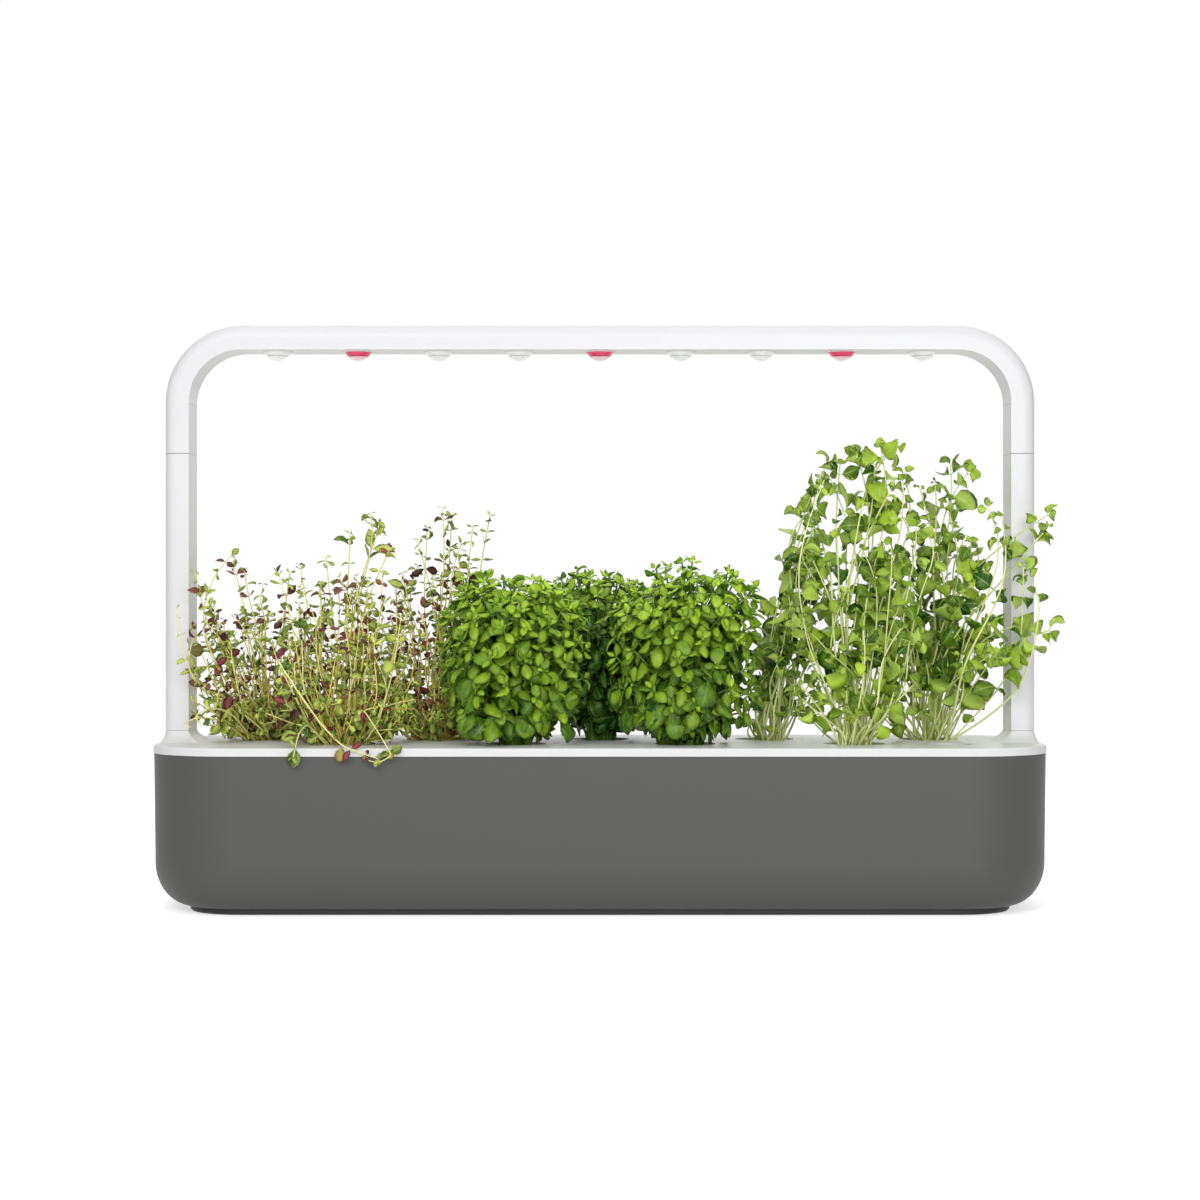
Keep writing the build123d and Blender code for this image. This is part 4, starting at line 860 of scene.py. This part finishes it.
thyme(
    "thyme_2", 1, seed=12, shoots=130, mat=48,
    sprigs=[
        (-0.205, -0.034, 0.234), (-0.186, -0.044, 0.240), (-0.170, -0.040, 0.256), (-0.156, -0.038, 0.269),
        (-0.150, -0.030, 0.262), (-0.218, -0.050, 0.229), (-0.142, -0.046, 0.246), (-0.176, -0.052, 0.226),
    ],
    runners=[
        ([(-0.190, -0.040, 0.110), (-0.206, -0.070, 0.150), (-0.216, -0.086, 0.174), (-0.200, -0.090, 0.150),
          (-0.184, -0.0935, 0.128), (-0.170, -0.0965, 0.114), (-0.156, -0.0975, 0.109),
          (-0.146, -0.0985, 0.106)], 0.00095, 0.0105),
        ([(-0.172, -0.046, 0.110), (-0.160, -0.072, 0.140), (-0.150, -0.088, 0.128), (-0.140, -0.0970, 0.113),
          (-0.137, -0.0985, 0.108), (-0.146, -0.0985, 0.103), (-0.153, -0.098, 0.105)], 0.0006, 0.0085),
        ([(-0.184, -0.045, 0.110), (-0.196, -0.066, 0.128), (-0.200, -0.084, 0.122), (-0.201, -0.0955, 0.113),
          (-0.202, -0.0975, 0.107)], 0.0006, 0.0125),
        ([(-0.160, -0.040, 0.110), (-0.142, -0.062, 0.150), (-0.136, -0.074, 0.176), (-0.133, -0.072, 0.200)],
         0.0007, 0.0105),
    ],
    hanging=[
        ((-0.170, -0.0968, 0.114), (-0.2, -0.02, -1.0), 0.0115, 0.65, 0.9, 0.55),
        ((-0.156, -0.0978, 0.109), (0.3, -0.02, -0.6), 0.006, 0.6, 0.6, 0.5),
        ((-0.201, -0.0958, 0.113), (-0.1, -0.02, -1.0), 0.0140, 0.66, 0.2, 0.0),
        ((-0.2005, -0.084, 0.122), (-0.9, -0.2, -0.3), 0.0125, 0.66, 0.55, 0.0),
        ((-0.140, -0.0972, 0.113), (0.3, -0.02, -0.9), 0.0085, 0.7, 0.8, 0.3),
        ((-0.146, -0.0987, 0.106), (-0.4, -0.02, -0.8), 0.0065, 0.6, 0.6, 0.0),
    ],
)
thyme(
    "thyme_3", 2, seed=13, shoots=110, mat=36,
    sprigs=[
        (-0.112, 0.042, 0.276), (-0.106, 0.052, 0.270), (-0.078, 0.036, 0.270), (-0.090, 0.030, 0.262),
        (-0.122, 0.030, 0.262), (-0.130, 0.036, 0.254), (-0.098, 0.028, 0.250),
    ],
)


# ---- basil --------------------------------------------------------------------------------------------
# Bushy basil: smooth oval leaves on soft green branches, each ending in a bright young rosette, and a
# skirt of older, larger and rounder leaves that hang low over the pot. The leaves are lighter high up and
# where the clump faces up, partly for their youth and partly as painted light. They are darker where the
# clump faces back, and, in the middle basil, where it does not face up: painted shade.
basil_blades, basil_outlines = leaf_blades(
    "basil_blade",
    bends=[(-0.45, 0.7, 0.0, 0.0), (0.3, 1.1, 0.25, 0.03), (-0.7, 0.4, -0.25, 0.0), (-0.3, 1.5, 0.1, 0.03)],
    rows=6, columns=5, stalk=0.15, belly=0.42, point=0.78, thickness=0.012,
)
basil_tree, basil_sockets = shoot_tree(
    "basil_shoots",
    leaf_finish(
        "basil_leaf_skin",
        dark=(0.010, 0.072, 0.001),
        light=(0.54, 0.81, 0.042),
        under=(0.20, 0.40, 0.06),
        vein=(0.24, 0.46, 0.10),
        gloss=0.34,
        gleam=0.3,
    ),
    stem_finish("basil_stem_skin", pale=(0.22, 0.38, 0.06), dark=(0.06, 0.16, 0.02)),
)
BASIL_HEIGHT = 0.125
BASIL_PAIRS = [  # leaf length, how far below the pair above, how much it lifts to the tip
    (0.0058, 0.0000, 1.05),
    (0.0092, 0.0014, 0.65),
    (0.0128, 0.0032, 0.30),
    (0.0152, 0.0080, 0.05),
    (0.0172, 0.0130, -0.15),
    (0.0180, 0.0150, -0.30),
]


def basil(node, pot, seed, shoots, low, crown, skirt, shade=0.0):
    """A basil with shoots all over from low above its plug, more in its crown, and a skirt of old leaves.

    shade darkens the leaves where the clump does not face up: painted shade.
    """
    rng = np.random.default_rng(seed)
    herb = Herb(basil_outlines)
    tips = canopy_tips(node, shoots, SOIL + low, 0.005, rng)
    tips += canopy_tips(node, crown, SOIL + 0.092, 0.004, rng)
    for tip, outward in tips:
        line = grown(
            pot, tip, spread=0.010, out=(0.05, 0.35), lift=(0.5, 0.85), sway=0.015, steps=12, rng=rng
        )
        if line is None:
            continue
        herb.shoot(line, thick=0.0012, thin=0.0006, tone=rng.uniform(0.0, 0.8))
        total, at = along_line(line)
        height = min((tip[2] - SOIL) / BASIL_HEIGHT, 1.0)
        young_and_lit_top = max(outward[2], 0.0) * height**2
        turn, away = rng.uniform(0, math.pi), 0.0
        for number, (length, gap, lift) in enumerate(BASIL_PAIRS):
            away += gap * rng.uniform(0.8, 1.2)
            if away > total * 0.7:
                break
            place, tangent = at(away)
            size = length * (1.30 - 0.36 * height**2) * rng.uniform(0.85, 1.12)
            face = unit(tangent * 0.55 + outward * 0.35 + UP * 0.45 + rng.normal(0, 0.18, 3))
            # Leaves near a tip are lighter for their youth. Leaves high up, and at the top facing up, are
            # lighter partly for youth and partly as painted light.
            tone = 0.12 + 0.22 * height + 0.50 * young_and_lit_top + 0.26 * (1 - number / 5) + rng.normal(0, 0.11)
            # Painted shade: darker by shade where the clump does not face up, and darker where it faces back.
            tone = (tone - shade * (1 - max(outward[2], 0.0))) * (1.0 if outward[1] < 0.3 else 0.8)
            pair_of_leaves(
                herb, pot, place, tangent, turn, face, rise=lift + rng.normal(0, 0.14), length=size,
                width=rng.uniform(0.54, 0.68), loose=0.12, tone=min(max(tone, 0.0), 1.0), age=0.0, rng=rng,
            )
            turn += math.pi / 2
    for number in range(skirt):
        angle = rng.uniform(-math.pi, 0.15 * math.pi) if number % 4 else rng.uniform(0, math.pi)
        out = np.array((math.cos(angle), math.sin(angle), 0.0))
        tip = np.array((*POT_PLACES[pot], SOIL + rng.uniform(0.018, 0.055))) + out * rng.uniform(0.022, 0.044)
        line = arched(soil_point(pot, 0.008, rng), tip, 0.25, 1.15, 9)
        if not allowed(line[3:], pot):
            continue
        herb.shoot(line, thick=0.0013, thin=0.0008, tone=rng.uniform(0.3, 1.0))
        along = unit(out * 0.7 + np.array((0, 0, -0.9)) + rng.normal(0, 0.25, 3))
        face = unit(out * 0.9 + UP * 0.35 + np.array((0, -0.3, 0)) + rng.normal(0, 0.2, 3))
        length = rng.uniform(0.018, 0.027)
        for shrink in (1.0, 0.75, 0.5):
            tone = rng.uniform(0.02, 0.34)
            if herb.leaf(pot, tip, along, face, length * shrink, 0.80, number % 4, tone, 0.0):
                break
    raise_herb(herb, node, basil_tree, basil_sockets, basil_blades, sides=5)


basil("basil_1", 3, seed=21, shoots=84, low=0.022, crown=28, skirt=26)
# basil_2 stands behind the other two; its shade is painted shade for the dark gap between them.
basil("basil_2", 4, seed=22, shoots=66, low=0.034, crown=28, skirt=4, shade=0.55)
basil("basil_3", 5, seed=23, shoots=84, low=0.022, crown=28, skirt=26)


# ---- oregano ------------------------------------------------------------------------------------------
# Oregano: long pale stems that lean on each other like a lattice, with wide gaps between their pairs of
# broad, curled leaves. A few sprigs reach out past the right arm.
oregano_blades, oregano_outlines = leaf_blades(
    "oregano_blade",
    bends=[
        (0.4, 0.7, 0.4, 0.05), (-0.8, 1.7, 0.7, 0.06), (1.3, 1.2, -0.8, 0.07),
        (0.3, 2.3, 0.5, 0.06), (-0.6, -0.7, -0.5, 0.05), (0.9, 1.6, 1.1, 0.07),
    ],
    rows=8, columns=5, stalk=0.15, belly=0.37, point=1.05, thickness=0.012,
)
oregano_tree, oregano_sockets = shoot_tree(
    "oregano_shoots",
    leaf_finish(
        "oregano_leaf_skin",
        dark=(0.022, 0.098, 0.002),
        light=(0.52, 0.73, 0.065),
        under=(0.58, 0.78, 0.14),
        vein=(0.54, 0.74, 0.16),
        gloss=0.34,
        gleam=0.3,
        veins=6.0,
    ),
    stem_finish("oregano_stem_skin", pale=(0.90, 0.95, 0.46), dark=(0.60, 0.76, 0.16)),
)
LEAN_X, LEAN_Z, LEAN_SLOPE = 0.104, 0.141, 0.312  # the oregano's side towards the basil leans over from here


def oregano(node, pot, seed, shoots, wires, sprigs):
    """An oregano with leafy shoots, longer wiry ones that cross them, and tall sprigs that are listed."""
    rng = np.random.default_rng(seed)
    herb = Herb(oregano_outlines)
    tips = canopy_tips(node, shoots, SOIL + 0.035, 0.008, rng)
    tips += canopy_tips(node, wires, SOIL + 0.02, 0.004, rng)
    tips += [(np.array(tip), UP) for tip in sprigs]
    for order, (tip, outward) in enumerate(tips):
        tall, wiry = order >= shoots + wires, shoots <= order < shoots + wires
        edge = LEAN_X + LEAN_SLOPE * (tip[2] - LEAN_Z)
        if tip[0] < edge:
            tip = np.array((edge + rng.uniform(0.0, 0.012), tip[1], tip[2]))
        out, sway = ((-1.4, 1.8), 0.05) if wiry else ((-0.4, 1.1), 0.036)
        line = grown(pot, tip, spread=0.0178, out=out, lift=(0.3, 0.8), sway=sway, steps=25, rng=rng)
        if line is None:
            continue
        herb.shoot(line, thick=rng.uniform(0.0006, 0.0011), thin=0.00045, tone=rng.uniform(0.2, 1.0))
        total, at = along_line(line)
        turn, away, gap, number = rng.uniform(0, math.pi), 0.0, 0.004, 0
        leafy, largest = (0.22, 0.0135) if wiry else (0.66, 0.0235)
        while away < total * leafy:
            place, tangent = at(away)
            size = min((0.0125 if tall else 0.0075) + 0.0042 * number, largest) * rng.uniform(0.7, 1.15)
            face = unit(UP * 0.45 + outward * 0.3 + np.array((0, -0.4, 0)) + rng.normal(0, 0.6, 3))
            rise = 0.8 - 0.4 * number if number < 3 else rng.uniform(-0.8, 0.3)
            if place[0] > LEAN_X - 0.004 + LEAN_SLOPE * (place[2] - LEAN_Z):
                pair_of_leaves(
                    herb, pot, place, tangent, turn, face, rise=rise, length=size,
                    width=rng.uniform(0.55, 0.80), loose=0.3, tone=rng.uniform(0.0, 1.0) ** 1.4, age=0.0,
                    rng=rng,
                )
            turn += math.pi / 2 + rng.normal(0, 0.4)
            number += 1
            gap = min(gap * 2.0, 0.026)
            away += gap * rng.uniform(0.75, 1.25)
    raise_herb(herb, node, oregano_tree, oregano_sockets, oregano_blades, sides=5)


oregano(
    "oregano_1", 6, seed=31, shoots=18, wires=22,
    sprigs=[(0.146, 0.040, 0.282), (0.152, 0.038, 0.290), (0.160, 0.036, 0.306)],
)
oregano(
    "oregano_2", 7, seed=32, shoots=26, wires=22,
    sprigs=[(0.190, -0.05, 0.313), (0.163, -0.042, 0.302), (0.174, -0.044, 0.308), (0.206, -0.052, 0.296)],
)
oregano(
    "oregano_3", 8, seed=33, shoots=26, wires=22,
    sprigs=[
        (0.262, 0.05, 0.300), (0.250, 0.048, 0.306), (0.304, -0.04, 0.268), (0.306, -0.05, 0.256),
        (0.302, -0.06, 0.190),
    ],
)
